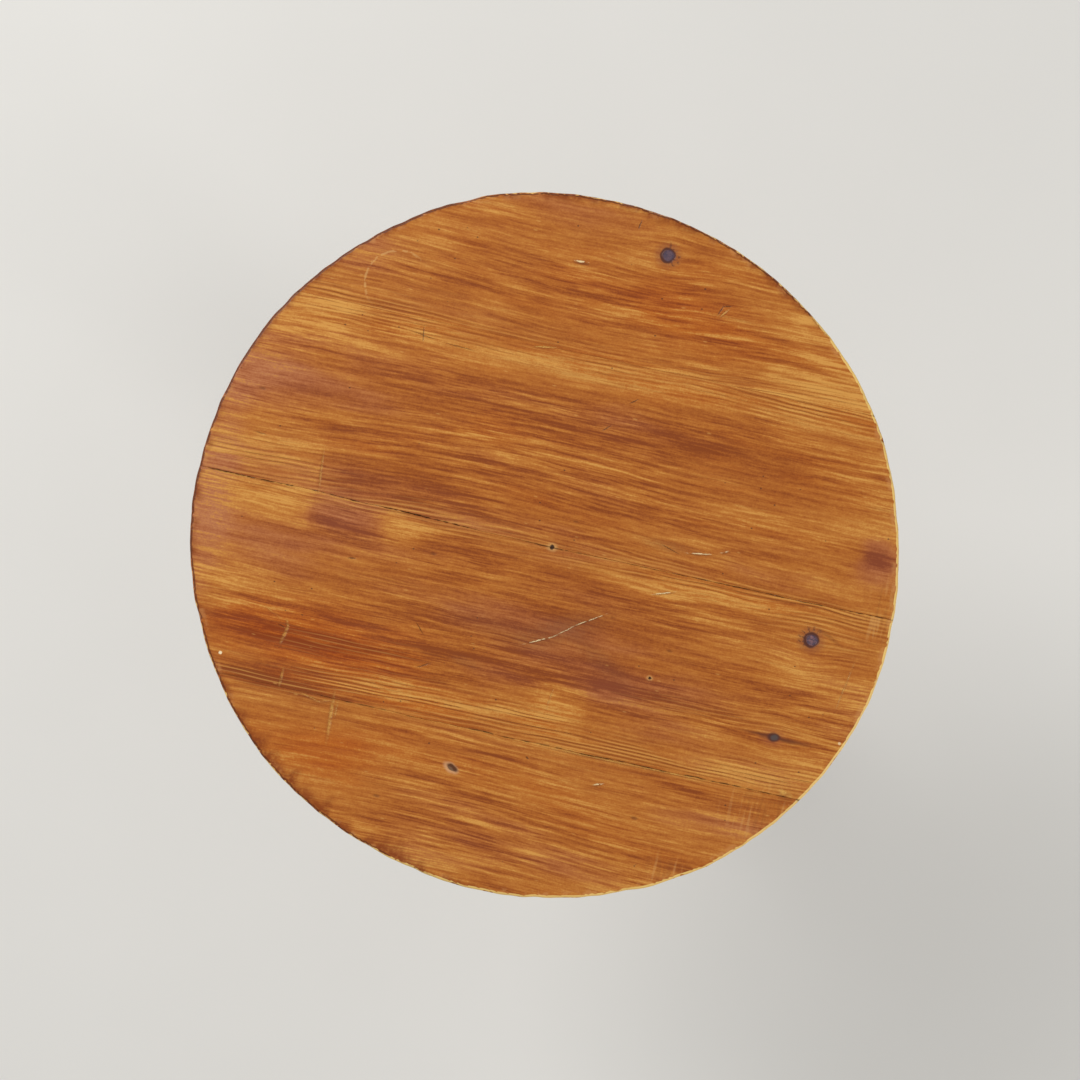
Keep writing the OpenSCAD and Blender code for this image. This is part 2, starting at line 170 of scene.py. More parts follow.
class Shader:
    """A node material, with a short method for each node it uses. A value may be a number or a socket."""

    def __init__(self, name):
        self.material = bpy.data.materials.new(name)
        self.material.use_nodes = True
        self.tree = self.material.node_tree
        self.tree.nodes.clear()
        self.surface = self.node("BsdfPrincipled")
        self.node("OutputMaterial", {"Surface": self.surface.outputs[0]})

    def put(self, value, socket):
        if isinstance(value, bpy.types.NodeSocket):
            self.tree.links.new(value, socket)
        else:
            socket.default_value = value

    def node(self, kind, inputs=None, **settings):
        """A new node with these settings, and with a value or a link for each input that is named."""
        n = self.tree.nodes.new("ShaderNode" + kind)
        for key, value in settings.items():
            setattr(n, key, value)
        for key, value in (inputs or {}).items():
            self.put(value, n.inputs[key])
        return n

    def attribute(self, name, output="Fac"):
        return self.node("Attribute", attribute_name=name).outputs[output]

    def place(self):
        return self.node("TexCoord").outputs["Object"]

    def parts(self, vector):
        return self.node("SeparateXYZ", {0: vector}).outputs

    def mapped(self, vector, at=(0, 0, 0), turn=(0, 0, 0), size=(1, 1, 1), kind="POINT"):
        inputs = {"Vector": vector, "Location": at, "Rotation": turn, "Scale": size}
        return self.node("Mapping", inputs, vector_type=kind).outputs[0]

    def noise(self, vector, size, detail=2.0, rough=0.5, distort=0.0, seed=0.0):
        vector = self.mapped(vector, at=(seed, seed * 0.7, seed * 1.3), size=size)
        inputs = {"Vector": vector, "Scale": 1.0, "Detail": detail, "Roughness": rough, "Distortion": distort}
        return self.node("TexNoise", inputs).outputs["Fac"]

    def shaken(self, vector, size, reach):
        """The vector, pushed about by noise so that what is drawn there has a rough outline."""
        noise = self.node("TexNoise", {"Vector": vector, "Scale": size, "Detail": 1.0}).outputs["Color"]
        push = self.vectors("SUBTRACT", noise, (0.5, 0.5, 0.5))
        return self.vectors("ADD", vector, self.vectors("SCALE", push, reach))

    def cells(self, vector, size, seed=0.0):
        """How far a point is from the middle of its cell, and a random colour for each cell."""
        vector = self.mapped(vector, at=(seed, seed * 0.7, 0), size=size)
        n = self.node("TexVoronoi", {"Vector": vector, "Scale": 1.0})
        return n.outputs["Distance"], n.outputs["Color"]

    def flecks(self, vector, size, seed, outer, inner, share):
        """Small round marks, one in each cell of the given share."""
        gap, pick = self.cells(vector, size, seed)
        picked = self.slope(self.node("SeparateColor", {0: pick}).outputs["Red"], share, share - 0.02)
        return self.times(self.slope(gap, outer, inner), picked)

    def maths(self, op, a, b=0.0, c=0.0, clamp=False):
        return self.node("Math", {0: a, 1: b, 2: c}, operation=op, use_clamp=clamp).outputs[0]

    def plus(self, a, b, clamp=False):
        return self.maths("ADD", a, b, clamp=clamp)

    def minus(self, a, b):
        return self.maths("SUBTRACT", a, b)

    def times(self, first, *others):
        for value in others:
            first = self.maths("MULTIPLY", first, value)
        return first

    def most(self, a, b):
        return self.maths("MAXIMUM", a, b)

    def total(self, first, *terms):
        """first + share * (value - middle) for each (value, middle, share)."""
        for value, middle, share in terms:
            value = self.minus(value, middle) if middle else value
            first = self.plus(first, self.times(value, share))
        return first

    def vectors(self, op, a, b=(0, 0, 0)):
        n = self.node("VectorMath", {0: a, "Scale" if op == "SCALE" else 1: b}, operation=op)
        return n.outputs["Value" if op == "LENGTH" else "Vector"]

    def slope(self, value, a, b, low=0.0, high=1.0):
        """low where value is a, high where it is b, with an easy change between."""
        inputs = {"Value": value, "From Min": a, "From Max": b, "To Min": low, "To Max": high}
        return self.node("MapRange", inputs, interpolation_type="SMOOTHSTEP").outputs[0]

    def ramp(self, value, stops):
        n = self.node("ValToRGB", {0: value})
        ends = n.color_ramp.elements
        while len(ends) < len(stops):
            ends.new(0.5)
        for e, (at, colour) in zip(ends, stops):
            e.position = at
            e.color = (*colour, 1)
        return n.outputs["Color"]

    def mix(self, share, a, b, kind="MIX"):
        a, b = (v if isinstance(v, bpy.types.NodeSocket) else (*v, 1) for v in (a, b))
        return self.node("Mix", {"Factor": share, 6: a, 7: b}, data_type="RGBA", blend_type=kind).outputs[2]

    def far(self, vector, x, y, rx, ry=None, turn=0.0):
        """How far a point is from the middle of an ellipse on the top, as a share of its radii."""
        near = self.mapped(vector, (x, y, TOP_Z), (0, 0, math.radians(turn)), (rx, ry or rx, 1.0), "TEXTURE")
        return self.vectors("LENGTH", near)

    def spot(self, vector, x, y, rx, ry=None, turn=0.0, soft=0.3):
        """1 inside an ellipse and 0 outside it."""
        return self.slope(self.far(vector, x, y, rx, ry, turn), 1 + soft, 1 - soft)

    def line(self, vector, x0, y0, x1, y1, width, soft=0.6):
        """1 on a straight mark between two points."""
        reach = math.hypot(x1 - x0, y1 - y0) / 2
        turn = math.degrees(math.atan2(y1 - y0, x1 - x0))
        return self.spot(vector, (x0 + x1) / 2, (y0 + y1) / 2, reach, width / 2, turn, soft)

    def finish(self, colour, roughness, height=None, metallic=0.0, specular=0.5, coat=0.0):
        inputs = {"Base Color": colour, "Roughness": roughness, "Metallic": metallic,
                  "Specular IOR Level": specular, "Coat Weight": coat, "Coat Roughness": COAT_ROUGHNESS}
        if height is not None:
            bump = self.node("Bump", {"Strength": 1.0, "Distance": 1.0, "Height": height})
            inputs["Normal"] = bump.outputs[0]
        for key, value in inputs.items():
            self.put(value, self.surface.inputs[key])
        return self.material


# ---- The varnished pine of the top ----

# Colours from the darkest streaks of the varnish to the lightest, each after how far along it lies
PINE = [
    (0.10, (0.230, 0.050, 0.007)),
    (0.22, (0.285, 0.070, 0.009)),
    (0.34, (0.340, 0.092, 0.012)),
    (0.50, (0.412, 0.128, 0.018)),
    (0.64, (0.468, 0.165, 0.026)),
    (0.76, (0.530, 0.215, 0.040)),
    (0.90, (0.620, 0.292, 0.062)),
]
KNOT_CORE = (0.070, 0.048, 0.072)
KNOT_RING = (0.085, 0.026, 0.017)
# Dark stain, also the colour of the painted shade beside pale scratches
DARK_STAIN_AND_SHADE = (0.105, 0.028, 0.008)
BARE_PINE = (0.70, 0.42, 0.15)
# Dark dirt, also the colour of the painted shade in grooves and where parts meet
DIRT_AND_SHADE = (0.045, 0.018, 0.009)
LATEWOOD = (0.200, 0.048, 0.005)
COMB_RIDGE = (0.66, 0.34, 0.080)
# Tints that multiply the colour of the wood
DEEP_ORANGE = (1.0, 0.76, 0.42)
PURPLE_HAZE = (0.96, 1.0, 2.4)

# Brush strokes: angle to the grain in degrees, strokes per metre along and across, detail and share
STROKES = [
    (0.8, 6, 100, 2, 0.085),
    (-1.4, 12, 215, 2, 0.125),
    (2.2, 20, 360, 1, 0.120),
    (-3.0, 34, 560, 1, 0.080),
    (0.3, 16, 800, 1, 0.095),
]

# Combed grooves: the distance between them, and how far slow noise sways them, in radians of their wave
COMB_PITCH = 0.0034
COMB_SWAY = 22.0

# Marks on the top: places and sizes in mm, angles in degrees from the grain
KNOTS = in_metres([
    # x, y, radius, the side on which it is split, and the paler colour in its heart
    (49, 262, 5.8, 10, (0.120, 0.072, 0.092)),
    (236, -31, 6, 140, (0.215, 0.108, 0.115)),
], 0, 1, 2)
EYE_KNOT, = in_metres([(222, -118, 4.2)], 0, 1, 2)
OBLONG_KNOT, = in_metres([(-39, -200, 5.2, 3, -25)], 0, 1, 2, 3)
HOLES = in_metres([
    # x, y, radius
    (5, 0, 1.8),
    (109, -91, 1.1),
], 0, 1, 2)
PALE_DOTS = in_metres([
    # x, y, radius, strength
    (-251, -146, 1.4, 1.0),
    (277.5, -111.5, 1.2, 0.55),
], 0, 1, 2)
PALE_SCRATCHES = in_metres([
    # x0, y0, x1, y1, width, strength
    (1, -83.8, 21.5, -73.8, 0.8, 0.85),
    (20, -75, 39, -60, 0.6, 0.60),
    (37, -61.2, 58.5, -47.5, 0.8, 0.85),
    (119, 19.5, 137, 22.2, 0.9, 0.80),
    (98, -20.6, 113, -15.6, 0.8, 0.80),
    (81, -189.2, 88.5, -186.8, 1, 0.85),
    (-27, 241.4, -14.5, 242, 1.4, 0.90),
    (146, 25.5, 153, 28.5, 0.9, 0.70),
    (-149.5, -160, -147.5, -196, 2.6, 0.34),
    (-145, -166, -145, -178, 1.4, 0.24),
    (-149, -165, -162, -169, 1.4, 0.34),
    (-161, -169, -176, -165, 1.2, 0.30),
    (-202, -106, -199.5, -113, 1.8, 0.36),
    (-199.5, -112, -203, -127, 2.6, 0.30),
    (-196, -148, -196.5, -162, 2.2, 0.24),
    (-221, -100, -208, -106, 1.2, 0.22),
    (236, -161, 248, -163.6, 3.4, 0.50),
    (-201, 38, -198.5, 8, 1.6, 0.24),
    (-46, 163, -28, 166, 1, 0.50),
    (275, -46, 269, -80, 1, 0.26),
    (103, 220.5, 109, 228, 1.1, 0.50),
    (29, -134, 31, -118, 1, 0.20),
    (39, -166.4, 102, -166.4, 0.8, 0.50),
    (98, -166.1, 168, -165.8, 0.8, 0.44),
], 0, 1, 2, 3, 4)
DARK_SCRATCHES = in_metres([
    (-94, -86.5, -86.5, -94.5, 0.7, 0.60),
    (26, 105.5, 32, 111, 0.9, 0.60),
    (96, 21.5, 111, 17, 0.7, 0.60),
    (20, 279, 21.2, 286, 0.9, 0.75),
    (-85, -123, -76, -118, 1, 0.60),
    (101, 222, 104, 229.5, 1, 0.70),
    (104, 229.5, 110.5, 231, 0.9, 0.60),
    (20.5, -178, 23, -179.5, 1, 0.75),
    (-140, 159, -138.5, 148, 1, 0.55),
    (-148, 154, -130, 151.5, 0.8, 0.50),
    (-118, 150, -95, 149, 0.7, 0.50),
    (44, 133, 50, 137.5, 0.9, 0.65),
    (-262, 43.5, -252, 42.5, 1, 0.40),
    (242, -21, 260, -30, 3, 0.22),
    (-208, -112, -202, -113.5, 1, 0.55),
    (-162, -45, -156, -44, 1.2, 0.60),
], 0, 1, 2, 3, 4)
# Dull brown bruises: x, y, half length, half width, angle and strength
BRUISES = in_metres([
    (28, -66, 34, 10, 26, 0.34),
    (62, -83, 30, 7, -30, 0.22),
    (-20, -78, 45, 9, -8, 0.16),
    (-47, -110, 12, 4, -10, 0.25),
    (100, 21.5, 18, 4, 0, 0.25),
], 0, 1, 2, 3)
RING_MARK, = in_metres([(-169.5, 191, 28)], 0, 1, 2)
# Marks of a blade that skipped across the grain: x, y, half length, half width and spacing
CHATTER = in_metres([
    (228, -183, 30, 20, 3.4),
    (160, -248, 20, 12, 3.4),
    (288, 2, 12, 26, 4),
], 0, 1, 2, 3, 4)
# A mark this close to a board is drawn on it too
MARK_MARGIN = 0.004


class VarnishedPine(Shader):
    """Pine under old brushed varnish, with the marks that lie on one board, which reaches from y0 to y1."""

    def __init__(self, name, seed, y0, y1):
        super().__init__(name)
        self.seed = seed
        self.y0 = y0
        self.y1 = y1
        self.grain = self.attribute("grain", "Vector")
        self.here = self.place()
        self.rough_here = self.shaken(self.here, 150, 0.0020)
        self.fine_here = self.shaken(self.here, 600, 0.0011)
        self.hollow = 0.0
        self.brush()
        self.tint()
        self.comb()
        self.speckle()
        self.bruise()
        for knot in KNOTS:
            self.round_knot(*knot)
        self.eye_knot(*EYE_KNOT)
        self.oblong_knot(*OBLONG_KNOT)
        self.prick()
        self.scratch()
        self.ring_mark(*RING_MARK)
        self.rub_and_light_the_edge()
        self.varnish()

    def near(self, y, reach):
        """Whether a mark can touch this board."""
        return self.y0 - reach - MARK_MARGIN < y < self.y1 + reach + MARK_MARGIN

    def streaks(self, size, detail, rough, seed=0):
        """Noise that lies along the grain."""
        return self.noise(self.grain, size, detail, rough, seed=self.seed + seed)

    def blots(self, size, detail, rough, seed=0):
        """Noise that takes no notice of the grain."""
        return self.noise(self.here, size, detail, rough, seed=self.seed + seed)

    def rough_spot(self, *shape):
        return self.spot(self.rough_here, *shape)

    def fine_spot(self, *shape):
        return self.spot(self.fine_here, *shape)

    def cut(self, *shape):
        return self.line(self.fine_here, *shape)

    def paint(self, colour, *shares):
        """Lays a colour over the wood, by the product of the shares."""
        self.colour = self.mix(self.times(*shares), self.colour, colour)

    def sink(self, share, depth):
        """Presses a mark into the surface."""
        self.hollow = self.total(self.hollow, (share, 0, -depth))

    def brush(self):
        """Broad bands and ragged zones, then brush strokes that cross at slight angles, then fine grit."""
        band = self.streaks((2.6, 26, 20), 2, 0.5)
        self.zone = self.streaks((9, 48, 20), 4, 0.62, 3)
        contrast = self.streaks((5, 17, 9), 2, 0.5, 53)
        contrast = self.slope(contrast, 0.34, 0.66, 0.55, 1.25)
        strokes = 0.0
        self.relief = 0.0
        for i, (turn, along, across, detail, share) in enumerate(STROKES):
            lie = self.mapped(self.grain, turn=(0, 0, math.radians(turn)))
            stroke = self.noise(lie, (along, across, 60), detail, 0.6, seed=self.seed + 7 + 4 * i)
            stroke = self.slope(stroke, 0.33, 0.67)
            strokes = self.total(strokes, (stroke, 0.5, share * 1.75))
            self.relief = self.total(self.relief, (stroke, 0, share * 0.0006))
        self.grit = self.blots((620, 760, 90), 2, 0.7, 31)
        self.coarse_grit = self.blots((190, 330, 60), 2, 0.6, 37)
        value = self.total(self.attribute("tone"), (band, 0.5, 0.50), (self.zone, 0.5, 0.60))
        value = self.plus(value, self.times(strokes, contrast))
        value = self.total(value, (self.grit, 0.5, 0.44), (self.coarse_grit, 0.5, 0.34))
        self.value = self.plus(value, 0.5)
        self.colour = self.ramp(self.value, PINE)

    def tint(self):
        """Deep orange where the varnish is thick and clear, and a dull purple haze where it is thin."""
        drift = self.streaks((5, 26, 12), 3, 0.55, 43)
        hue = self.total(self.attribute("warm"), (drift, 0.5, 2.4))
        hue = self.times(hue, self.slope(self.value, 0.78, 0.58, 0.15, 1.0))
        for end, colour in ((1.0, DEEP_ORANGE), (-1.0, PURPLE_HAZE)):
            self.colour = self.mix(self.slope(hue, 0.0, end), self.colour, colour, "MULTIPLY")

    def comb(self):
        """Thin dark latewood lines, and combed grooves beside the joints, each with a pale ridge."""
        late = self.streaks((4.5, 300, 60), 1.5, 0.5, 23)
        late = self.slope(self.maths("ABSOLUTE", self.minus(late, 0.5)), 0.032, 0.004)
        late = self.times(late, self.slope(self.zone, 0.45, 0.68, 0.0, 0.26))
        sway = self.streaks((3.2, 30, 10), 3, 0.55, 29)
        across = self.parts(self.grain)["Y"]
        wave = self.maths("MULTIPLY_ADD", across, TAU / COMB_PITCH, self.times(sway, COMB_SWAY))
        wave = self.maths("SINE", wave)
        worn = self.slope(self.streaks((12, 170, 20), 2, 0.5, 33), 0.36, 0.56)
        worn = self.times(self.attribute("groove"), worn)
        self.paint(COMB_RIDGE, self.slope(wave, -0.30, -0.95, 0.0, 0.60), worn)
        comb = self.times(self.slope(wave, 0.50, 0.95, 0.0, 0.90), worn)
        self.late = self.times(self.most(late, comb), self.slope(self.coarse_grit, 0.30, 0.55, 0.55, 1.0))
        self.paint(LATEWOOD, self.late)

    def speckle(self):
        """Dark specks, small dents and pale flecks."""
        self.speck = self.flecks(self.grain, (62, 80, 20), self.seed, 0.070, 0.030, 0.50)
        dent = self.flecks(self.grain, (19, 46, 8), self.seed + 5, 0.085, 0.030, 0.42)
        fleck = self.flecks(self.grain, (44, 150, 20), self.seed + 9, 0.12, 0.04, 0.26)
        self.paint((0.70, 0.38, 0.10), fleck, 0.34)
        self.paint(DIRT_AND_SHADE, self.speck, 0.72)
        self.paint(DARK_STAIN_AND_SHADE, dent, 0.50)
        self.sink(self.speck, 0.12 * MM)
        self.sink(dent, 0.20 * MM)

    def bruise(self):
        """Dull brown bruises, and the marks of a blade that skipped."""
        grit = self.slope(self.coarse_grit, 0.25, 0.6, 0.4, 1.0)
        for x, y, reach, across, turn, strength in BRUISES:
            if self.near(y, across):
                bruise = self.rough_spot(x, y, reach, across, turn, 0.8)
                self.paint((0.13, 0.045, 0.024), bruise, grit, strength)
        for x, y, reach, across, pitch in CHATTER:
            if self.near(y, across):
                region = self.rough_spot(x, y, reach, across, 0, 0.8)
                wave = self.blots((1 / pitch, 26, 5), 1, 0.5, 31)
                self.paint(DARK_STAIN_AND_SHADE, region, self.slope(wave, 0.52, 0.64, 0.0, 0.16))
                self.paint(BARE_PINE, region, self.slope(wave, 0.46, 0.34, 0.0, 0.22))

    def round_knot(self, x, y, r, split_side, heart_colour):
        """A round knot: a grey heart, a dark ring, and short checks that run out of it on one side."""
        if not self.near(y, r * 4):
            return
        out = self.far(self.rough_here, x, y, r)
        self.paint((0.21, 0.058, 0.026), self.slope(out, 2.5, 1.0, 0.0, 0.50))
        offset = self.parts(self.vectors("SUBTRACT", self.here, (x, y, 0)))
        bearing = self.maths("ARCTAN2", offset["Y"], offset["X"])
        wander = self.noise(self.here, (330, 330, 20), 2, 0.6)
        rays = self.maths("SINE", self.times(self.total(bearing, (wander, 0.5, 0.7)), 13.0))
        side = self.maths("COSINE", self.minus(bearing, math.radians(split_side)))
        side = self.slope(side, -0.5, 0.6)
        rays = self.times(self.slope(self.total(rays, (wander, 0.5, 3.0)), 0.60, 1.0), side)
        checks = self.times(rays, self.times(self.slope(out, 2.3, 1.5), self.slope(out, 0.95, 1.15)))
        self.paint((0.065, 0.022, 0.016), checks, 0.60)
        self.paint(KNOT_RING, self.slope(out, 1.28, 0.98))
        heart = self.slope(self.noise(self.here, (420, 420, 50), 3, 0.65), 0.38, 0.62)
        core = self.slope(self.far(self.rough_here, x + 0.10 * r, y, r), 0.92, 0.66)
        self.paint(self.mix(heart, KNOT_CORE, heart_colour), core)
        self.sink(self.slope(self.maths("ABSOLUTE", self.minus(out, 0.95)), 0.22, 0.05), 0.30 * MM)
        self.sink(checks, 0.20 * MM)

    def eye_knot(self, x, y, r):
        """A small knot with a tail to each side."""
        if not self.near(y, r * 3):
            return
        tail = self.rough_spot(x + 0.007, y - 0.0005, 0.020, 0.0016, 0, 0.9)
        tail_left = self.rough_spot(x - 0.006, y + 0.0005, 0.016, 0.0014, 0, 0.9)
        halo = self.rough_spot(x - 0.0010, y - 0.0008, r * 2.3, r * 1.6, 0, 0.7)
        self.paint((0.300, 0.080, 0.030), halo, 0.50)
        self.paint((0.120, 0.030, 0.010), self.most(tail, tail_left), 0.85)
        self.paint(KNOT_RING, self.rough_spot(x, y, r * 1.2, r * 0.9, 0, 0.30))
        self.paint((0.085, 0.060, 0.055), self.rough_spot(x + 0.0005, y, r * 0.70, r * 0.55, 0, 0.35))
        self.sink(self.spot(self.here, x, y, r, r, 0, 0.4), 0.25 * MM)

    def oblong_knot(self, x, y, rx, ry, turn):
        """A small slanting knot with a bared edge."""
        if not self.near(y, rx * 3):
            return
        bared = self.rough_spot(x - 0.0008, y - 0.0003, rx * 1.35, ry * 1.30, turn, 0.30)
        self.paint((0.62, 0.34, 0.17), bared, 0.70)
        self.paint((0.095, 0.032, 0.012), self.rough_spot(x + 0.0004, y, rx, ry * 0.80, turn, 0.35))
        heart = self.fine_spot(x - 0.001, y - 0.001, rx * 0.5, ry * 0.4, turn, 0.5)
        self.paint((0.16, 0.085, 0.045), heart)
        self.sink(self.spot(self.here, x, y, rx, ry, turn, 0.5), 0.6 * MM)

    def prick(self):
        """Pin holes, and dots of pale paint."""
        for x, y, r in HOLES:
            if self.near(y, r):
                self.paint(BARE_PINE, self.fine_spot(x, y, r * 2.4, r * 1.9, 0, 0.5), 0.42)
                hole = self.fine_spot(x, y, r, r, 0, 0.3)
                self.paint(DIRT_AND_SHADE, hole)
                self.sink(hole, 1.2 * MM)
        for x, y, r, strength in PALE_DOTS:
            if self.near(y, r):
                self.paint((0.86, 0.70, 0.44), self.fine_spot(x, y, r, r, 0, 0.3), strength)

    def scratch(self):
        """Dark scratches, and pale ones with painted shade along their lower edge, broken if strong and
        frayed if faint.
        """
        broken = self.broken()
        frayed = self.slope(self.coarse_grit, 0.40, 0.58, 0.30, 1.15)
        for x0, y0, x1, y1, width, strength in DARK_SCRATCHES:
            if self.near((y0 + y1) / 2, abs(y1 - y0) / 2):
                cut = self.cut(x0, y0, x1, y1, width)
                self.paint(DIRT_AND_SHADE, cut, strength)
                self.sink(cut, 0.3 * MM)
        for x0, y0, x1, y1, width, strength in PALE_SCRATCHES:
            if self.near((y0 + y1) / 2, abs(y1 - y0) / 2):
                strong = strength > 0.5
                # Painted shade along the lower side of the pale scratch
                shade = self.cut(x0, y0 - width * 0.9, x1, y1 - width * 0.9, width * 1.8)
                self.paint(DARK_STAIN_AND_SHADE, shade, 0.6 * strength)
                cut = self.cut(x0, y0, x1, y1, width)
                cut = self.times(cut, broken if strong else frayed)
                bared = (0.80, 0.60, 0.32) if strong else (0.70, 0.39, 0.09)
                self.paint(bared, cut, min(1.0, strength * 1.2))
                self.sink(cut, 0.35 * MM)

    def broken(self):
        """Noise that leaves gaps in a mark."""
        return self.slope(self.blots((240, 240, 20), 2, 0.5), 0.42, 0.52)

    def ring_mark(self, x, y, r):
        """A part of a pale ring, where a glass stood."""
        if not self.near(y, r):
            return
        ring = self.maths("ABSOLUTE", self.minus(self.far(self.rough_here, x, y, r), 1.0))
        kept = self.times(self.spot(self.here, x - 0.020, y + 0.018, 0.034, 0.034, 0, 0.25), self.broken())
        self.paint(BARE_PINE, self.slope(ring, 0.050, 0.015), kept, 0.40)

    def rub_and_light_the_edge(self):
        """A rubbed band along the rim, then the rounded edge, with a painted highlight in amber on its lit
        side and a thin dark line of painted shade elsewhere.
        """
        rim = self.attribute("rim")
        self.rub = self.blots((75, 75, 75), 4, 0.65, 41)
        chafe = self.slope(self.rub, 0.50, 0.60, 0.0, 0.50)
        self.paint((0.55, 0.24, 0.075), self.slope(rim, 0.47, 0.80), chafe)
        blot = self.blots((210, 210, 210), 4, 0.7, 47)
        # Dark stain spreading in from the rim, with a band of painted shade along its shaded side
        self.paint((0.215, 0.042, 0.004), self.attribute("stain_and_shade"), self.slope(blot, 0.36, 0.60, 0.45, 1.0))
        edge = self.slope(rim, 0.86, 0.97)
        # Painted shade on the rounded edge where the arris light and the rubbing are low, and a painted
        # highlight in amber where they are high
        wear_and_painted_light = self.total(self.attribute("arris_light"), (self.rub, 0.5, 1.6))
        self.paint((0.110, 0.026, 0.006), edge, self.slope(wear_and_painted_light, 0.02, -0.22, 0.0, 0.85))
        self.paint((0.86, 0.60, 0.19), edge, self.slope(wear_and_painted_light, 0.12, 0.40, 0.0, 0.80))
        self.split = self.times(self.attribute("crack"), self.slope(self.coarse_grit, 0.36, 0.58, 0.30, 0.95))
        self.paint((0.095, 0.026, 0.005), self.split)

    def varnish(self):
        """The relief of the brushed varnish, the grooves and the marks, and the gloss."""
        height = self.total(self.relief, (self.late, 0, -0.18 * MM), (self.grit, 0, 0.035 * MM))
        height = self.plus(self.total(height, (self.coarse_grit, 0, 0.06 * MM)), self.hollow)
        rough = self.total(0.42, (self.zone, 0.5, 0.35), (self.rub, 0.5, 0.20))
        rough = self.plus(rough, self.times(self.most(self.speck, self.split), 0.3), clamp=True)
        self.finish(self.colour, rough, height, specular=0.22)


# ---- Other woods and iron ----


def wood(name, source, colours, seed, ring_pitch, heart, gloss, coat=0.0, edges=False, sawn=0.0):
    """Solid wood cut through its growth rings, with pores, stain and rubbed edges, and, where edges is set,
    dirt, painted shade and darkening where the mesh's wear value is low.
    The source of its coordinates, along the grain first, is a mesh attribute or an axis of the object."""
    s = Shader(name)
    here = s.place()
    if source in AXIS_TURNS:
        grain = s.mapped(here, turn=AXIS_TURNS[source])
    else:
        grain = s.attribute(source, "Vector")
    slow = s.noise(grain, (2.6, 9, 9), 2, 0.5, seed=seed)
    ring = s.vectors("LENGTH", s.mapped(grain, at=(0, *heart), size=(0, 1, 1)))
    ring = s.plus(ring, s.times(slow, 0.030))
    rings = s.maths("MULTIPLY_ADD", s.maths("SINE", s.times(ring, TAU / ring_pitch)), 0.5, 0.5)
    rings = s.maths("POWER", rings, 1.6)
    fibre = s.noise(grain, (22, 620, 620), 3, 0.6, seed=seed + 3)
    streak = s.noise(grain, (5, 120, 120), 2, 0.5, 0.3, seed=seed + 5)
    blotch = s.noise(here, (14, 14, 9), 3, 0.6, seed=seed + 9)
    value = s.total(0.5, (rings, 0.4, 0.20), (fibre, 0.5, 0.80), (streak, 0.5, 0.85), (blotch, 0.5, 0.80))
    colour = s.ramp(value, list(zip((0.15, 0.38, 0.58, 0.85), colours)))
    pores = s.slope(s.noise(grain, (55, 1500, 1500), 1, 0.5, seed=seed + 13), 0.66, 0.74)
    colour = s.mix(s.times(pores, 0.45), colour, DIRT_AND_SHADE)
    scuff = s.noise(here, (45, 45, 30), 4, 0.65, seed=seed + 19)
    if edges:
        wear_and_painted_light = s.attribute("wear_dirt_and_shade")
        bright = s.slope(s.total(wear_and_painted_light, (scuff, 0.5, 1.4)), 0.45, 0.95, 0.0, 0.60)
        colour = s.mix(bright, colour, tuple(min(1.0, c * 1.9) for c in colours[-1]))
        # Where the wear value is low: dirt in the joints of the top, painted shade in the column's grooves
        # and where parts meet, and darkening towards the floor
        grime_and_shade = s.slope(s.total(wear_and_painted_light, (scuff, 0.5, 0.7)), -0.25, -0.85, 0.0, 0.75)
        colour = s.mix(grime_and_shade, colour, DIRT_AND_SHADE)
    nick = s.flecks(here, (34, 34, 26), seed + 2, 0.075, 0.030, 0.35)
    colour = s.mix(s.times(nick, 0.5), colour, DIRT_AND_SHADE)
    height = s.total(0.0, (fibre, 0, 0.08 * MM), (rings, 0, 0.03 * MM), (pores, 0, -0.06 * MM))
    height = s.total(height, (nick, 0, -0.25 * MM))
    if sawn:
        kerf = s.noise(s.mapped(grain, turn=(0, 0, 0.16)), (230, 3, 3), 2, 0.6, seed=seed + 29)
        kerf = s.times(s.slope(kerf, 0.40, 0.62), s.slope(blotch, 0.40, 0.60, 0.25, 1.0))
        colour = s.mix(s.times(kerf, 0.22 * sawn), colour, tuple(c * 0.45 for c in colours[0]))
        height = s.total(height, (kerf, 0, -0.18 * MM * sawn))
    rough = s.total(gloss, (scuff, 0.5, 0.35), (blotch, 0.5, 0.15))
    rough = s.plus(rough, s.times(nick, 0.2), clamp=True)
    return s.finish(colour, rough, height, specular=0.45, coat=coat)


def forged_iron(name):
    """Dark iron with a hammered skin and a little rust."""
    s = Shader(name)
    here = s.place()
    hammer, _ = s.cells(here, (210, 210, 210), 1.0)
    fine = s.noise(here, (900, 900, 900), 3, 0.6, seed=2.0)
    rust = s.slope(s.noise(here, (90, 90, 90), 4, 0.65, seed=4.0), 0.50, 0.64)
    colour = s.mix(s.slope(fine, 0.3, 0.7), (0.022, 0.020, 0.019), (0.065, 0.060, 0.056))
    colour = s.mix(s.times(rust, 0.75), colour, (0.155, 0.055, 0.020))
    height = s.total(0.0, (hammer, 0, 0.18 * MM), (fine, 0, 0.05 * MM))
    rough = s.total(0.48, (fine, 0.5, 0.35), (rust, 0, 0.28))
    return s.finish(colour, rough, height, metallic=s.slope(rust, 0.0, 1.0, 0.85, 0.15))


# How an axis of the object is turned to lie along X
AXIS_TURNS = {"x": (0, 0, 0), "y": (0, 0, -math.pi / 2), "z": (0, math.pi / 2, 0)}
# Colours from the darkest wood to the lightest
STAINED = [(0.085, 0.022, 0.005), (0.185, 0.054, 0.011), (0.270, 0.086, 0.018), (0.370, 0.135, 0.032)]
AGED_BARE = [(0.170, 0.085, 0.036), (0.290, 0.155, 0.070), (0.380, 0.220, 0.108), (0.470, 0.300, 0.165)]

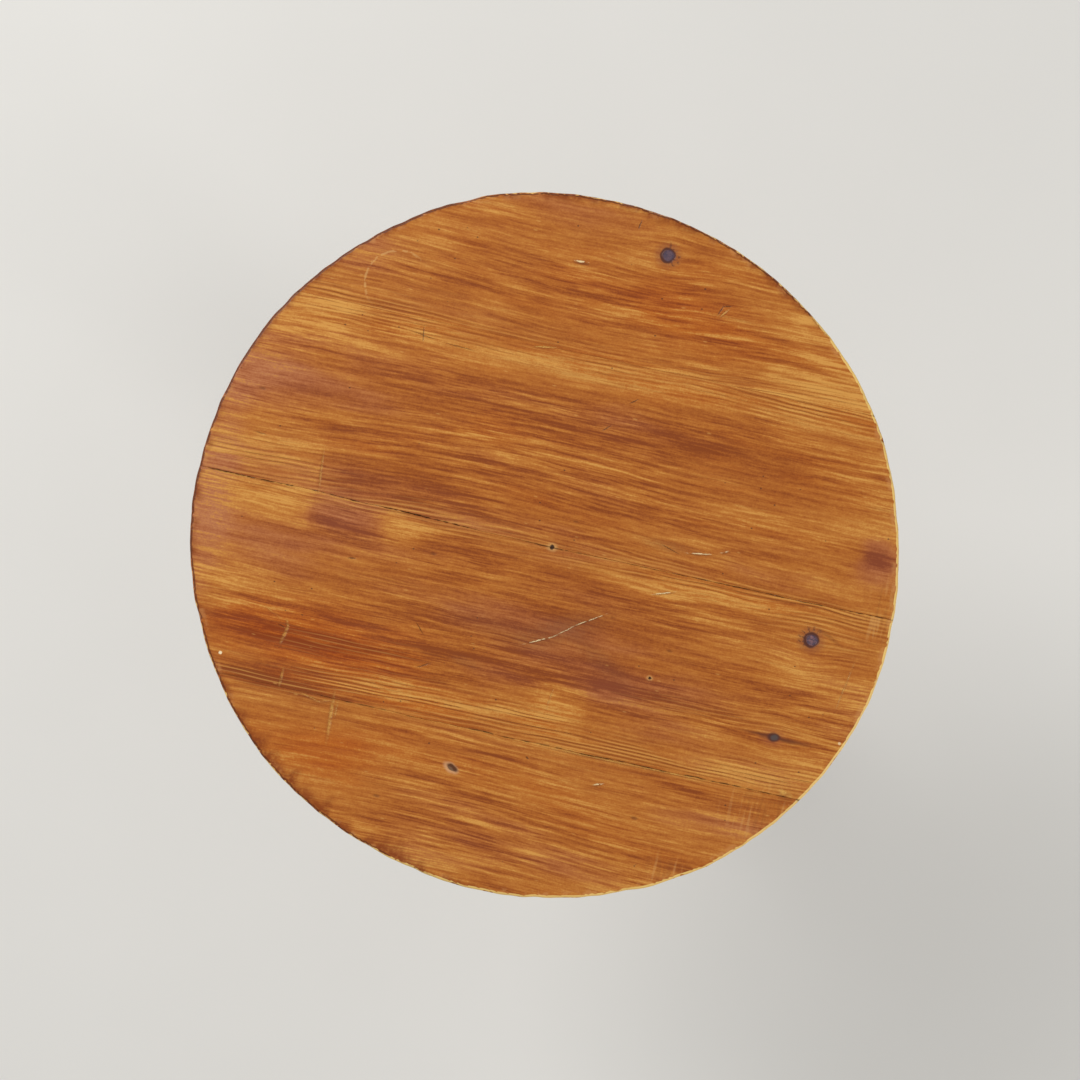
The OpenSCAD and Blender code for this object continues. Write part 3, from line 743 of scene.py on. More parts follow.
IRON = forged_iron("forged_iron")
UNDERSIDE = wood("bare_pine_boards", "lie", AGED_BARE, 5.0, 0.0065, (0.10, 0.06), 0.72, edges=True, sawn=1.0)
PAD_WOOD = wood("bare_pine_along_x", "x", AGED_BARE, 6.0, 0.0055, (0.10, -0.65), 0.70, sawn=0.5)
WEDGE_WOOD = wood("bare_pine_along_z", "z", AGED_BARE, 9.0, 0.0040, (0.03, 0.05), 0.62)
CLEAT_WOOD = wood("bare_pine_along_y", "y", AGED_BARE, 8.0, 0.0048, (0.12, -0.62), 0.66)
BLOCK_WOOD = wood("stained_wood_along_y", "y", STAINED, 12.0, 0.0040, (0.02, -0.60), 0.50)
PIN_WOOD = wood("stained_wood_along_x", "x", STAINED, 15.0, 0.0030, (0.079, -0.674), 0.42)
BUTTON_WOOD = wood("button_wood_along_x", "x", STAINED, 18.0, 0.0034, (-0.10, -0.655), 0.40)
COLUMN_WOOD = wood("turned_wood", "grain", STAINED, 21.0, 0.0040, (0.012, 0.020), 0.36, 0.15, edges=True)
LEG_WOOD = wood("leg_wood", "grain", STAINED, 27.0, 0.0042, (0.050, 0.030), 0.38, 0.12, edges=True)

# ---- The four boards of the top ----

# How far the hand-cut rim strays from a circle: number of lobes, size in mm and phase in degrees
OUT_OF_ROUND = [(2, 2.9, 47), (3, 1.1, 114), (4, 0.6, 177), (5, 0.3, 147), (6, 0.4, 102), (9, 0.5, 87)]
RIM_ROUND = 2.8 * MM
RIM_ROUND_UNDER = 3.5 * MM
# The wall of the rim leans in towards the underside
RIM_LEAN = 1.2 * MM
# How far the outline lies inside the rim at each level
RIM_INSET = {"face": RIM_ROUND, "mouth": 0.0, "closed": 0.0, "under": RIM_LEAN + RIM_ROUND_UNDER}
JOINT_ROUND_UNDER = 0.9 * MM
ROUND_STEPS = 7
ROUND_STEPS_UNDER = 4
# How far down the wall its rings lie, closer together in the mouth of a joint
WALL_AT = (0.05, 0.11, 0.19, 0.30, 0.50, 0.75, 1.0)
# The grid of the upper face: cells along a board, rows across it, and where its outer rows lie in mm, for
# a board of the full width
GRID_CELLS = 300
GRID_ROWS = 74
EDGE_ROWS = (0.0, 0.25, 0.6, 1.1, 1.8, 2.8)
BOARD_WIDTH = 165
# The upper face: the largest step between boards, the cup of each, and how far it lies under the CAD's face
BOARD_STEP = 0.12 * MM
BOARD_CUP = 0.22 * MM
FACE_DROP = 0.30 * MM

# Joints: the CAD's line, how far it is off that on the left and right, the rounding of its edges, its gap
# where it is tight, and where it opens: from, to, and how far
JOINT_LINES = {
    "front": {"y": high("board_front", "y"), "left": 1.2 * MM, "right": -0.8 * MM, "round": 0.32 * MM,
              "tight": 0.04 * MM, "open": [(-0.02, 0.26, 0.16 * MM), (-0.16, -0.08, 0.10 * MM)]},
    "mid": {"y": high("board_mid_front", "y"), "left": 2.7 * MM, "right": -2.2 * MM, "round": 0.40 * MM,
            "tight": 0.05 * MM, "open": [(-0.27, -0.085, 0.34 * MM), (-0.01, 0.285, 0.12 * MM)]},
    "back": {"y": low("board_back", "y"), "left": 0.5 * MM, "right": -0.5 * MM, "round": 0.14 * MM,
             "tight": 0.02 * MM, "open": [(0.20, 0.25, 0.06 * MM)]},
}
# A joint is open down to this depth, and closed under it
JOINT_DEPTH = 3.5 * MM
# A joint opens and closes over this length
JOINT_EASE = 0.03

# Where fine dark grooves crowd together: x, y, half length and half width in mm, and strength
GROOVES = in_metres([
    (-70, -149, 130, 13, 1.0),
    (120, -157, 120, 11, 1.0),
    (245, -150, 40, 12, 0.6),
    (-260, 18, 70, 22, 0.8),
    (-120, 4, 60, 9, 0.9),
    (130, -3, 170, 10, 0.9),
    (250, -18, 50, 18, 0.7),
    (-200, 172, 80, 14, 0.8),
    (10, 160, 200, 12, 0.7),
    (220, 165, 70, 20, 0.7),
    (-215, -158, 70, 12, 0.7),
    (-150, -118, 70, 10, 0.5),
    (180, -110, 90, 10, 0.4),
], 0, 1, 2, 3)

# Soft patches of light and dark: x, y, half length and half width in mm, strength, and maybe an x in mm where
# it ends short
TONE_PATCHES = in_metres([
    (-245, 24, 75, 20, 0.24, -201),
    (-232, -14, 45, 13, 0.24, -202),
    (-122, -15, 18, 17, 0.26),
    (40, -128, 24, 26, 0.25, 63),
    (0, 152, 230, 10, 0.24),
    (215, 170, 60, 20, 0.22),
    (160, -14, 110, 7, 0.26),
    (-70, -148, 90, 11, 0.24),
    (220, -150, 60, 13, 0.18),
    (185, 232, 22, 13, 0.26),
    (-240, 155, 45, 18, 0.16),
    (-90, 190, 20, 12, 0.20),
    (-285, -35, 25, 20, 0.16),
    (-55, 105, 50, 18, 0.15),
    (265, 75, 35, 14, 0.06),
    (50, 215, 60, 14, 0.10),
    (-210, -178, 40, 8, 0.06),
    (130, 112, 85, 16, -0.13),
    (100, 85, 100, 30, -0.09),
    (-230, 85, 80, 11, -0.16),
    (-150, 55, 90, 14, -0.19),
    (-120, 18, 70, 12, -0.18),
    (-175, -10, 28, 14, -0.28),
    (-45, -80, 90, 18, -0.13),
    (20, -105, 100, 20, -0.12),
    (110, -108, 60, 26, -0.13),
    (-190, -120, 85, 26, -0.20),
    (-230, -160, 40, 10, -0.18),
    (-60, -255, 110, 12, -0.12),
    (20, 225, 100, 10, -0.10),
    (150, 195, 60, 8, -0.12),
    (278, 48, 14, 10, -0.34),
    (-130, 110, 60, 8, -0.14),
    (-110, -38, 90, 12, -0.08),
    (-185, -162, 60, 13, -0.28),
    (-50, 115, 80, 24, -0.18),
    (60, -52, 80, 16, -0.20),
    (25, 85, 40, 16, -0.12),
    (240, 200, 45, 18, 0.18),
    (190, 120, 50, 18, 0.11),
    (250, 16, 45, 12, 0.16),
    (30, -238, 100, 14, 0.12),
    (-200, -155, 50, 16, -0.15),
    (270, 50, 30, 16, -0.10),
    (195, 205, 55, 18, 0.14),
    (-150, 200, 60, 22, -0.10),
    (-120, -128, 80, 20, -0.11),
    (-30, 92, 100, 18, -0.08),
    (150, -54, 110, 17, -0.10),
    (90, 54, 35, 16, -0.10),
    (-30, 274, 35, 16, -0.13),
    (190, -162, 60, 14, 0.09),
    (245, -110, 40, 24, 0.08),
], 0, 1, 2, 3, 5)
# Patches of deep orange (above 0) and of dull purple-brown (below 0), laid out as above and in mm
WARM_PATCHES = in_metres([
    (-180, -120, 110, 32, 0.85),
    (0, 152, 300, 14, 0.45),
    (40, -128, 26, 26, 0.35),
    (-150, -225, 60, 18, 0.60),
    (160, -14, 110, 10, 0.35),
    (-210, 215, 60, 28, -0.65),
    (-290, -10, 22, 120, -0.80),
    (-175, -10, 34, 16, -0.85),
    (-10, -75, 100, 26, -0.60),
    (110, -108, 70, 30, -0.55),
    (-40, -255, 120, 30, -0.55),
    (-220, 100, 80, 20, -0.45),
    (278, 48, 18, 16, -1.0),
    (-110, 0, 80, 22, -0.35),
    (-230, -60, 60, 26, -0.45),
    (-260, 80, 40, 40, -0.40),
], 0, 1, 2, 3)


def rim_ripple(angle, seed, length):
    """A ripple round the rim. Its length is a share of the radius."""
    return ripple(np.cos(angle), np.sin(angle), seed, length, length)


def rim_radius(angle):
    """The radius of the outline at an angle from +X."""
    r = TOP_R + 0.22 * MM * rim_ripple(angle, 11, 0.11)
    for lobes, size, phase in OUT_OF_ROUND:
        r = r + size * MM * np.cos(lobes * angle + math.radians(phase))
    return r


def joint_ripple(name, nth, x, length):
    """The nth ripple along a joint."""
    return ripple(x, 0 * x, sum(map(ord, name)) + nth, length, 1)


def joint_middle(name, x):
    line = JOINT_LINES[name]
    drift = line["left"] + (line["right"] - line["left"]) * smooth(-0.22, 0.02, x)
    waver = 0.22 * MM * joint_ripple(name, 0, x, 0.06) + 0.08 * MM * joint_ripple(name, 1, x, 0.012)
    return line["y"] + drift + waver


def joint_gap(name, x):
    line = JOINT_LINES[name]
    rough = 0.6 + 0.6 * joint_ripple(name, 2, x, 0.022) + 0.6 * joint_ripple(name, 3, x, 0.007)
    rough = np.clip(rough, 0.05, 2.0)
    gap = line["tight"] + 0 * x
    for start, end, width in line["open"]:
        gap = gap + width * rough * smooth(start - JOINT_EASE, start, x) * smooth(end + JOINT_EASE, end, x)
    return gap


def joint_edge(name, side, x, level):
    """The edge of the board behind a joint, where side is 1, or of the one in front of it, where side is -1.
    The level is the upper face, the mouth under its rounding, the closed joint or the underside."""
    if level == "closed":
        away = 0.01 * MM
    elif level == "under":
        away = JOINT_ROUND_UNDER
    else:
        away = joint_gap(name, x) / 2 + (JOINT_LINES[name]["round"] if level == "face" else 0)
    return joint_middle(name, x) + side * away


def corner_angle(name, side, right, level, rounds=30):
    """The angle at which a joint's edge meets the outline, on the right or on the left."""
    found = math.asin(JOINT_LINES[name]["y"] / TOP_R)
    for _ in range(rounds):
        angle = found if right else math.pi - found
        r = float(rim_radius(np.array(angle))) - RIM_INSET[level]
        y = float(joint_edge(name, side, np.array(r * math.cos(angle)), level))
        found = math.asin(y / r)
    return found if right else math.pi - found


def outline(front, back, u, v, level):
    """The edges of a board in plan: front, back, left and right. Where it has no joint it ends at the rim."""
    spans = []
    for right in (False, True):
        ends = [name and corner_angle(name, side, right, level) for name, side in ((front, 1), (back, -1))]
        spans.append([other if end is None else end for end, other in zip(ends, reversed(ends))])
    left, right = spans

    def on_rim(angle):
        r = rim_radius(angle) - RIM_INSET[level]
        return np.stack([r * np.cos(angle), r * np.sin(angle)], -1)

    def across(name, side, left_angle, right_angle):
        if name is None:
            if side > 0 and left_angle > 0:
                left_angle -= TAU
            return on_rim(left_angle + (right_angle - left_angle) * u)
        x0, x1 = (on_rim(np.array(a))[0] for a in (left_angle, right_angle))
        x = x0 + (x1 - x0) * u
        return np.stack([x, joint_edge(name, side, x, level)], -1)

    ends = [on_rim(start + (end - start) * v) for start, end in spans]
    return across(front, 1, left[0], right[0]), across(back, -1, left[1], right[1]), *ends


def filled(front, back, left, right, u, v):
    """Points inside four edges, spread evenly between them."""
    u = u[None, :, None]
    v = v[:, None, None]
    across = (1 - v) * front[None] + v * back[None]
    along = (1 - u) * left[:, None] + u * right[:, None]
    corners = (1 - v) * ((1 - u) * front[0] + u * front[-1]) + v * ((1 - u) * back[0] + u * back[-1])
    return across + along - corners


def around(edges):
    """The values of the front, back, left and right edges, in a loop from the front left corner."""
    front, back, left, right = edges
    return np.concatenate([front[:-1], right[:-1], back[:0:-1], left[:0:-1]])


def turned_away(angle, at):
    """How far an angle is from another, between -pi and pi."""
    return (angle - at + math.pi) % TAU - math.pi


def patches(x, y, table):
    """The strengths of soft patches with slanting sides. A patch with a sixth value ends short at that x."""
    total = np.zeros_like(x)
    for cx, cy, length, width, strength, *short_end in table:
        slant = y - cy + 0.0015 * ripple(x, y, int(1000 * abs(cx + cy)), 0.08, 0.05)
        share = np.exp(-np.abs((x - cx) / length) ** 3 - (slant / width) ** 2)
        for end in short_end:
            ragged = end + 0.0010 * ripple(x, y, 77, 0.05, 0.006)
            share = share * smooth(ragged + 0.0015, ragged - 0.0015, x)
        total = total + strength * share
    return total


def rim_chips(seed, count):
    """Small chips along the upper edge, then some saw marks and a notch: angle, length and depth."""
    rng = np.random.default_rng(seed)
    chips = []
    for _ in range(count):
        angle = math.radians(rng.uniform(15, 215))
        chips.append((angle, rng.uniform(1.0, 4.0) * MM, rng.uniform(0.3, 1.2) * MM))
    sawn = [(math.radians(a), 0.8 * MM, 1.2 * MM) for a in (184, 186.3, 188.1, 190.4, 193, 196, 198.5)]
    return [*chips, *sawn, (math.radians(29.3), 1.6 * MM, 3.4 * MM)]


CHIPS = rim_chips(4, 42)
# The direction of the side of the rim whose arris gets a painted highlight, in degrees
LIT_SIDE = -26
# The direction of the side of the rim whose edge gets a thin line of painted shade, in degrees
SHADED_SIDE = 168
# Where the dark stain of the rim spreads inwards: angle and half span in degrees, and how far in mm
RIM_STAINS = in_metres([
    (240, 24, 3.4),
    (252, 6, 2.2),
    (228, 5, 1.6),
    (150, 30, 1.4),
    (184, 9, 1.6),
    (84, 8, 2.8),
    (60, 7, 2.4),
    (100, 6, 1.6),
], 2)


def edge_rings(edges, z_in, end_on, rounding):
    """The rings of points from the upper face over the rounded edge, down the wall and under the lower edge.
    end_on is 1 where the edge is the rim, and rounding is that of the joints elsewhere."""
    p, q, shut, foot = (around(edge) for edge in edges)
    angle = np.arctan2(q[:, 1], q[:, 0])
    out = q - p
    out = out / np.maximum(np.linalg.norm(out, axis=1, keepdims=True), 1e-9)
    chip = np.zeros(len(p))
    for at, length, depth in CHIPS:
        chip = np.maximum(chip, depth * np.exp(-((turned_away(angle, at) * TOP_R / length) ** 2)))
    chip = chip * end_on
    worn = 1 + 0.22 * rim_ripple(angle, 5, 0.25)
    drop = np.where(end_on > 0, RIM_ROUND * np.clip(worn, 0.5, 1.5), rounding)
    drop_under = np.where(end_on > 0, RIM_ROUND_UNDER, JOINT_ROUND_UNDER)
    swell = 0.35 * MM * ripple(angle * 3, 0 * angle, 31, 0.5, 1) * end_on
    wall_top = z_in - drop
    wall_foot = UNDER_Z + drop_under

    rings = []
    for a in np.arange(1, ROUND_STEPS + 1) / ROUND_STEPS * math.pi / 2:
        plan = p + (q - p) * math.sin(a) - out * (chip * math.sin(2 * a))[:, None] * 0.9
        rings.append(np.column_stack([plan, z_in - drop * (1 - math.cos(a)) - chip * math.sin(a) * 0.6]))
    for t in WALL_AT:
        bulge = swell * math.sin(math.pi * t) - RIM_LEAN * t * end_on
        height = wall_top + (wall_foot - wall_top) * t
        meet = smooth(0, JOINT_DEPTH, TOP_Z - height)[:, None]
        plan = q + (shut - q) * meet + out * bulge[:, None]
        rings.append(np.column_stack([plan, height]))
    for a in np.arange(1, ROUND_STEPS_UNDER + 1) / ROUND_STEPS_UNDER * math.pi / 2:
        lower = plan + (foot - plan) * (1 - math.cos(a))
        rings.append(np.column_stack([lower, wall_foot - drop_under * math.sin(a)]))
    return rings


def board_attributes(points, seed, joints, on_edge, wear_dirt_and_shade):
    """What the materials read at each point. on_edge is 1 on the wall and roundings of the rim."""
    x, y, z = points.T
    flow = 2.2 * MM * ripple(x, y, seed + 5, 0.70, 0.30) + 0.25 * MM * ripple(x, y, seed + 6, 0.10, 0.04)
    for knot_x, knot_y, r, *_ in [*KNOTS, EYE_KNOT]:
        near = np.exp(-(((x - knot_x) / (4.5 * r)) ** 2) - ((y - knot_y) / (4.0 * r)) ** 2)
        flow = flow - 0.30 * (y - knot_y) * near

    bearing = np.arctan2(y, x)
    radius = np.hypot(x, y)
    inward = rim_radius(bearing) - radius
    ragged = inward + 0.5 * MM * rim_ripple(bearing, 61, 0.02)
    wavy_z = z + 0.8 * MM * ripple(bearing * 3, z * 0, 63, 0.10, 1)
    arris_high = smooth(TOP_Z - 0.0050, TOP_Z - 0.0022, wavy_z)
    arris_low = 0.94 * smooth(UNDER_Z + 0.0045, UNDER_Z + 0.0015, z)
    rim = np.maximum(0.80 * smooth(0.014, 0.002, inward), on_edge * smooth(0.0042, 0.0020, ragged))
    rim = rim * np.maximum(np.maximum(arris_high, arris_low), 0.45)
    on_wall = smooth(TOP_Z - 0.002, TOP_Z - 0.006, z) * smooth(0.012, 0.006, inward)

    spread = 0.0
    for at, span, width in RIM_STAINS:
        away = turned_away(bearing, math.radians(at)) / math.radians(span)
        spread = spread + width * np.exp(-(away**2))
    spread = spread * np.clip(0.8 + 0.5 * rim_ripple(bearing, 65, 0.10), 0.1, 1.8)
    stain_and_shade = smooth(0.0045 + 3.0 * spread, 0.3 * spread, ragged) * smooth(0.0, 0.0010, spread)
    # A thin band of painted shade along the rim on the side towards SHADED_SIDE, laid over the real stain
    shaded = smooth(0.30, 0.75, np.cos(bearing - math.radians(SHADED_SIDE)))
    stain_and_shade = np.maximum(stain_and_shade, 0.80 * smooth(0.0034, 0.0014, ragged) * shaded)

    # Light on the rounded arris: a painted highlight towards LIT_SIDE, and a thin painted highlight at the
    # outermost edge except straight opposite it
    lit = np.cos(bearing - math.radians(LIT_SIDE))
    outermost_highlight = smooth(0.0015, 0.0004, ragged) * smooth(-0.98, -0.60, lit)
    tone = patches(x, y, TONE_PATCHES) * (1 - on_wall) - 0.10 * on_wall
    tone = tone + 0.06 * smooth(0.20, 0.29, radius) - 0.04 * smooth(0.14, 0.0, radius)
    crack = np.zeros(len(x))
    for name in filter(None, joints):
        gap = joint_gap(name, x)
        away = np.abs(y - joint_middle(name, x)) - gap / 2
        crack = np.maximum(crack, smooth(0.0010, 0.0, away) * smooth(0.04 * MM, 0.25 * MM, gap) * 0.75)
        crack = np.maximum(crack, smooth(TOP_Z - 0.0003, TOP_Z - 0.0012, z) * smooth(0.0010, 0.0, away))
    return {
        "grain": np.column_stack([x + seed, y + flow + seed * 1.7, z - TOP_Z]),
        "lie": np.column_stack([x + 0.37 * seed, y + 0.21 * seed, z - UNDER_Z + 0.013 * seed]),
        "tone": tone,
        "warm": patches(x, y, WARM_PATCHES),
        "groove": np.clip(patches(x, y, GROOVES), 0, 1),
        "crack": crack,
        "rim": rim,
        "arris_light": -0.42 + 0.95 * smooth(0.02, 0.42, lit) + 0.78 * outermost_highlight,
        "stain_and_shade": stain_and_shade * (1 - 0.7 * on_wall),
        "wear_dirt_and_shade": wear_dirt_and_shade,
    }


def make_board(node, seed, front, back):
    """One board: a fine grid on top, a rounded edge all round, and a flat underside."""
    beside = np.array(EDGE_ROWS) / BOARD_WIDTH
    even = np.linspace(beside[-1], 1 - beside[-1], GRID_ROWS - 2 * len(beside) + 2)[1:-1]
    v = np.concatenate([beside, even, 1 - beside[::-1]])
    u = np.linspace(0, 1, GRID_CELLS + 1)
    edges = [outline(front, back, u, v, level) for level in ("face", "mouth", "closed", "under")]
    plan = filled(*edges[0], u, v)
    rows, cols = plan.shape[:2]
    x, y = plan.reshape(-1, 2).T

    # Height of the upper face: hand-planed hollows, a slight cup and a step between boards
    step = np.random.default_rng(seed).uniform(-BOARD_STEP, BOARD_STEP)
    middle = (y.min() + y.max()) / 2
    cup = BOARD_CUP * (1 - ((y - middle) / (y.max() - middle)) ** 2)
    hollows = 0.09 * MM * ripple(x, y, seed, 0.09, 0.05) + 0.04 * MM * ripple(x, y, seed + 1, 0.05, 0.012)
    z = TOP_Z + step + cup + hollows - FACE_DROP

    def per_edge(values):
        """A value for each point of the loop, from one for each edge."""
        return around([np.full(n, value) for n, value in zip((cols, cols, rows, rows), values)])

    joints = (front, back, None, None)
    end_on = per_edge([0.0 if joint else 1.0 for joint in joints])
    end_on = np.maximum(np.roll(end_on, 1), end_on)
    rounding = per_edge([JOINT_LINES[joint]["round"] if joint else RIM_ROUND for joint in joints])
    index = np.arange(rows * cols).reshape(rows, cols)
    loop = around([index[0], index[-1], index[:, 0], index[:, -1]])
    rings = edge_rings(edges, z[loop], end_on, rounding)
    points = np.concatenate([np.column_stack([x, y, z]), *rings])

    # The varnish covers the upper face, the whole rim and the walls of the joints. Slot 1 is the underside
    faces = np.stack([index[:-1, :-1], index[:-1, 1:], index[1:, 1:], index[1:, :-1]], -1)
    faces = faces.reshape(-1, 4).tolist()
    kinds = [0] * len(faces)
    before = loop
    for k in range(len(rings)):
        after = rows * cols + k * len(loop) + np.arange(len(loop))
        faces += np.stack([before, after, np.roll(after, -1), np.roll(before, -1)], -1).tolist()
        kinds += [0 if on_rim or k < ROUND_STEPS + len(WALL_AT) - 1 else 1 for on_rim in end_on]
        before = after
    faces.append(before[::-1].tolist())
    kinds.append(1)

    # Dirt in the joints under the top. The last ring stays clean, because it edges the one flat face
    wear_dirt_and_shade = np.concatenate([np.zeros(rows * cols), np.tile(np.where(end_on > 0, 0.0, -1.3), len(rings))])
    wear_dirt_and_shade[-len(loop):] = 0
    on_edge = np.concatenate([np.zeros(rows * cols), np.tile(end_on, len(rings))])
    attributes = board_attributes(points, seed, joints, on_edge, wear_dirt_and_shade)
    pine = VarnishedPine("varnished_pine_" + node, seed, points[:, 1].min(), points[:, 1].max()).material
    make_piece(node + "_planed", points, faces, "top", node, [pine, UNDERSIDE], attributes,
               kinds, flat=len(faces) - 1)


make_board("board_front", 3, None, "front")
make_board("board_mid_front", 7, "front", "mid")
make_board("board_mid_back", 12, "mid", "back")
make_board("board_back", 19, "back", None)

# ---- The turned column, in mm ----

# The turning from the foot up: radius and height
TURNING = [
    *[(0, 95), (36, 95), (38, 97), (38, 212), (35, 215)],
    *bead(29, 216, 13),
    *ease(26, 42, 232, 300, 24),
    *ease(42, 20, 304, 387, 30),
    *bead(20, 391, 12),
    *[(23.5, 407), (18.5, 605.7)],
    *bead(20, 607.7, 9),
    *[(19.5, 617.7)],
    *ease(20, 31, 618.7, 639.7, 14),
    *[(32.5, 640.7), (34, 643.7), (34, 653.7), (32, 655.7), (19, 655.7), (19, 688.9), (0, 688.9)],
]
FOOT_Z = 95
SHOULDER_Z = 655
# A radius that every side of the turning is outside of
CORE_R = 12
# Fine rings that the turner scribed: height and depth
SCRIBED = [(112, 0.5), (116, 0.35), (198, 0.5), (264, 0.35), (302, 0.6), (498, 0.3), (648.7, 0.5)]
SCRIBED_WIDTH = 0.8
# How far up and down the column a ridge is compared with, to find what is rubbed and which grooves get
# painted shade
RIDGE_REACH = 9.0
LATHE_STEPS = 120


def softened(profile, radius, steps=3, least_turn=28):
    """Rounds the corners of a profile that turn by more than least_turn degrees."""
    pts = [np.array(q, float) for q in profile]
    out = [pts[0]]
    for before, here, after in zip(pts, pts[1:], pts[2:]):
        a, b = before - here, after - here
        la, lb = np.linalg.norm(a), np.linalg.norm(b)
        if math.degrees(math.acos(np.clip(-(a @ b) / (la * lb), -1, 1))) < least_turn:
            out.append(here)
            continue
        cut = min(radius, la * 0.4, lb * 0.4)
        start, end = here + a / la * cut, here + b / lb * cut
        for t in np.linspace(0, 1, steps + 1):
            out.append((1 - t) ** 2 * start + 2 * t * (1 - t) * here + t * t * end)
    return np.array(out + [pts[-1]])


def divided(profile, longest):
    """Splits the long parts of a profile."""
    out = [profile[0]]
    for a, b in zip(profile, profile[1:]):
        n = max(1, math.ceil(np.linalg.norm(b - a) / longest))
        out += [a + (b - a) * k / n for k in range(1, n + 1)]
    return np.array(out)


def turned(profile, steps):
    """The angles, radii and heights of the rings of points that a profile makes round an axis."""
    a, r = np.meshgrid(np.arange(steps) / steps * TAU, profile[:, 0])
    return a, r, np.repeat(profile[:, 1:2], steps, 1)


def ring_faces(rings, steps):
    """Faces between stacked rings of points."""
    faces = []
    for k in range(rings - 1):
        for i in range(steps):
            j = (i + 1) % steps
            faces.append((k * steps + i, k * steps + j, (k + 1) * steps + j, (k + 1) * steps + i))
    return faces


def make_column():
    profile = divided(softened(TURNING, radius=0.9), longest=2.2)
    radius, z = profile.T
    is_side = radius > CORE_R
    for height, depth in SCRIBED:
        cut = depth * np.exp(-(((z - height) / SCRIBED_WIDTH) ** 2))
        radius = radius - cut * (is_side & (z < SHOULDER_Z))
    mean = radius.copy()
    for i in np.flatnonzero(is_side):
        mean[i] = radius[(abs(z - z[i]) < RIDGE_REACH) & is_side].mean()
    # Ridges are rubbed lighter. The grooves, the bottom of the drum and the shoulder under the block get
    # painted shade
    wear_dirt_and_shade = np.clip((radius - mean) / 1.6, -1, 1) * is_side
    wear_dirt_and_shade = wear_dirt_and_shade - 0.9 * smooth(FOOT_Z + 13, FOOT_Z + 1, z) - 0.8 * smooth(SHOULDER_Z - 10, SHOULDER_Z, z)
    a, r, h = turned(np.column_stack([radius, z]), LATHE_STEPS)
    uneven = 0.10 * ripple(np.cos(a) * 40, h, 71, 160, 60) + 0.05 * ripple(a * 0, h, 72, 1, 5)
    uneven = uneven * smooth(FOOT_Z, FOOT_Z + 5, h) * smooth(SHOULDER_Z, SHOULDER_Z - 5, h)
    r = np.where(r > CORE_R, r + uneven, r)
    points = np.stack([r * np.cos(a), r * np.sin(a), h], -1).reshape(-1, 3) * MM
    attributes = {"grain": points[:, [2, 0, 1]], "wear_dirt_and_shade": np.repeat(wear_dirt_and_shade, LATHE_STEPS)}
    faces = ring_faces(len(profile), LATHE_STEPS)
    make_piece("column_turned", points, faces, "base", "column", [COLUMN_WOOD], attributes)


make_column()

# ---- The three legs, in mm ----

LEG_STATIONS = 90
LEG_SECTION = 44
# The leg's upper and lower edge seen from the side: distance from the axis and height
LEG_UPPER = np.concatenate([
    [(30, 203), (36, 203)],
    bezier((40, 203), (118, 203), (150, 62), (232, 33), 40),
    bezier((234, 32.6), (250, 30), (266, 27), (267.5, 15), 12),
])
LEG_LOWER = np.concatenate([
    [(30, 95), (50, 95), (66, 95)],
    bezier((80, 95), (132, 95), (152, 20), (216, 13), 40),
    bezier((219, 12), (226, 8), (262, 6), (267.5, 13), 12),
])
# The rounding of the toe, as shares of the leg's length: where it starts, and how long it is
TOE_START = 0.90
TOE_LENGTH = 0.102
# The angle of the grain to the floor, in degrees
LEG_GRAIN = 33
# The pad under the toe: its distance from the axis, then its radius and height
PAD_AT = 244
PAD_PROFILE = [
    (0, 0.2), (17.5, 0.2), (20.5, 1.2), (22.2, 4.0), (22.5, 7.0), (21.6, 10.5), (19.0, 13.2), (14, 15.5),
    (0, 16.5),
]
PAD_STEPS = 48


def resampled(line, count):
    """A line with its points spread evenly along it."""
    run = np.concatenate([[0], np.cumsum(np.linalg.norm(np.diff(line, axis=0), axis=1))])
    at = np.linspace(0, run[-1], count)
    return np.stack([np.interp(at, run, line[:, 0]), np.interp(at, run, line[:, 1])], -1)


def rounded_box(half_width, half_height, corner, count):
    """Points round a rectangle with soft corners, and how near each is to a corner."""
    angle = (np.arange(count) + 0.5) / count * TAU
    power = 2.0 + 5.0 * (1 - corner)
    c, s = np.cos(angle), np.sin(angle)
    reach = (np.abs(c) ** power + np.abs(s) ** power) ** (-1 / power)
    return half_width * reach * c, half_height * reach * s, np.clip((reach - 1.02) / 0.30, 0, 1)


def rotated(x, y, angle):
    """A place in a plane, turned about the origin."""
    return x * math.cos(angle) - y * math.sin(angle), x * math.sin(angle) + y * math.cos(angle)


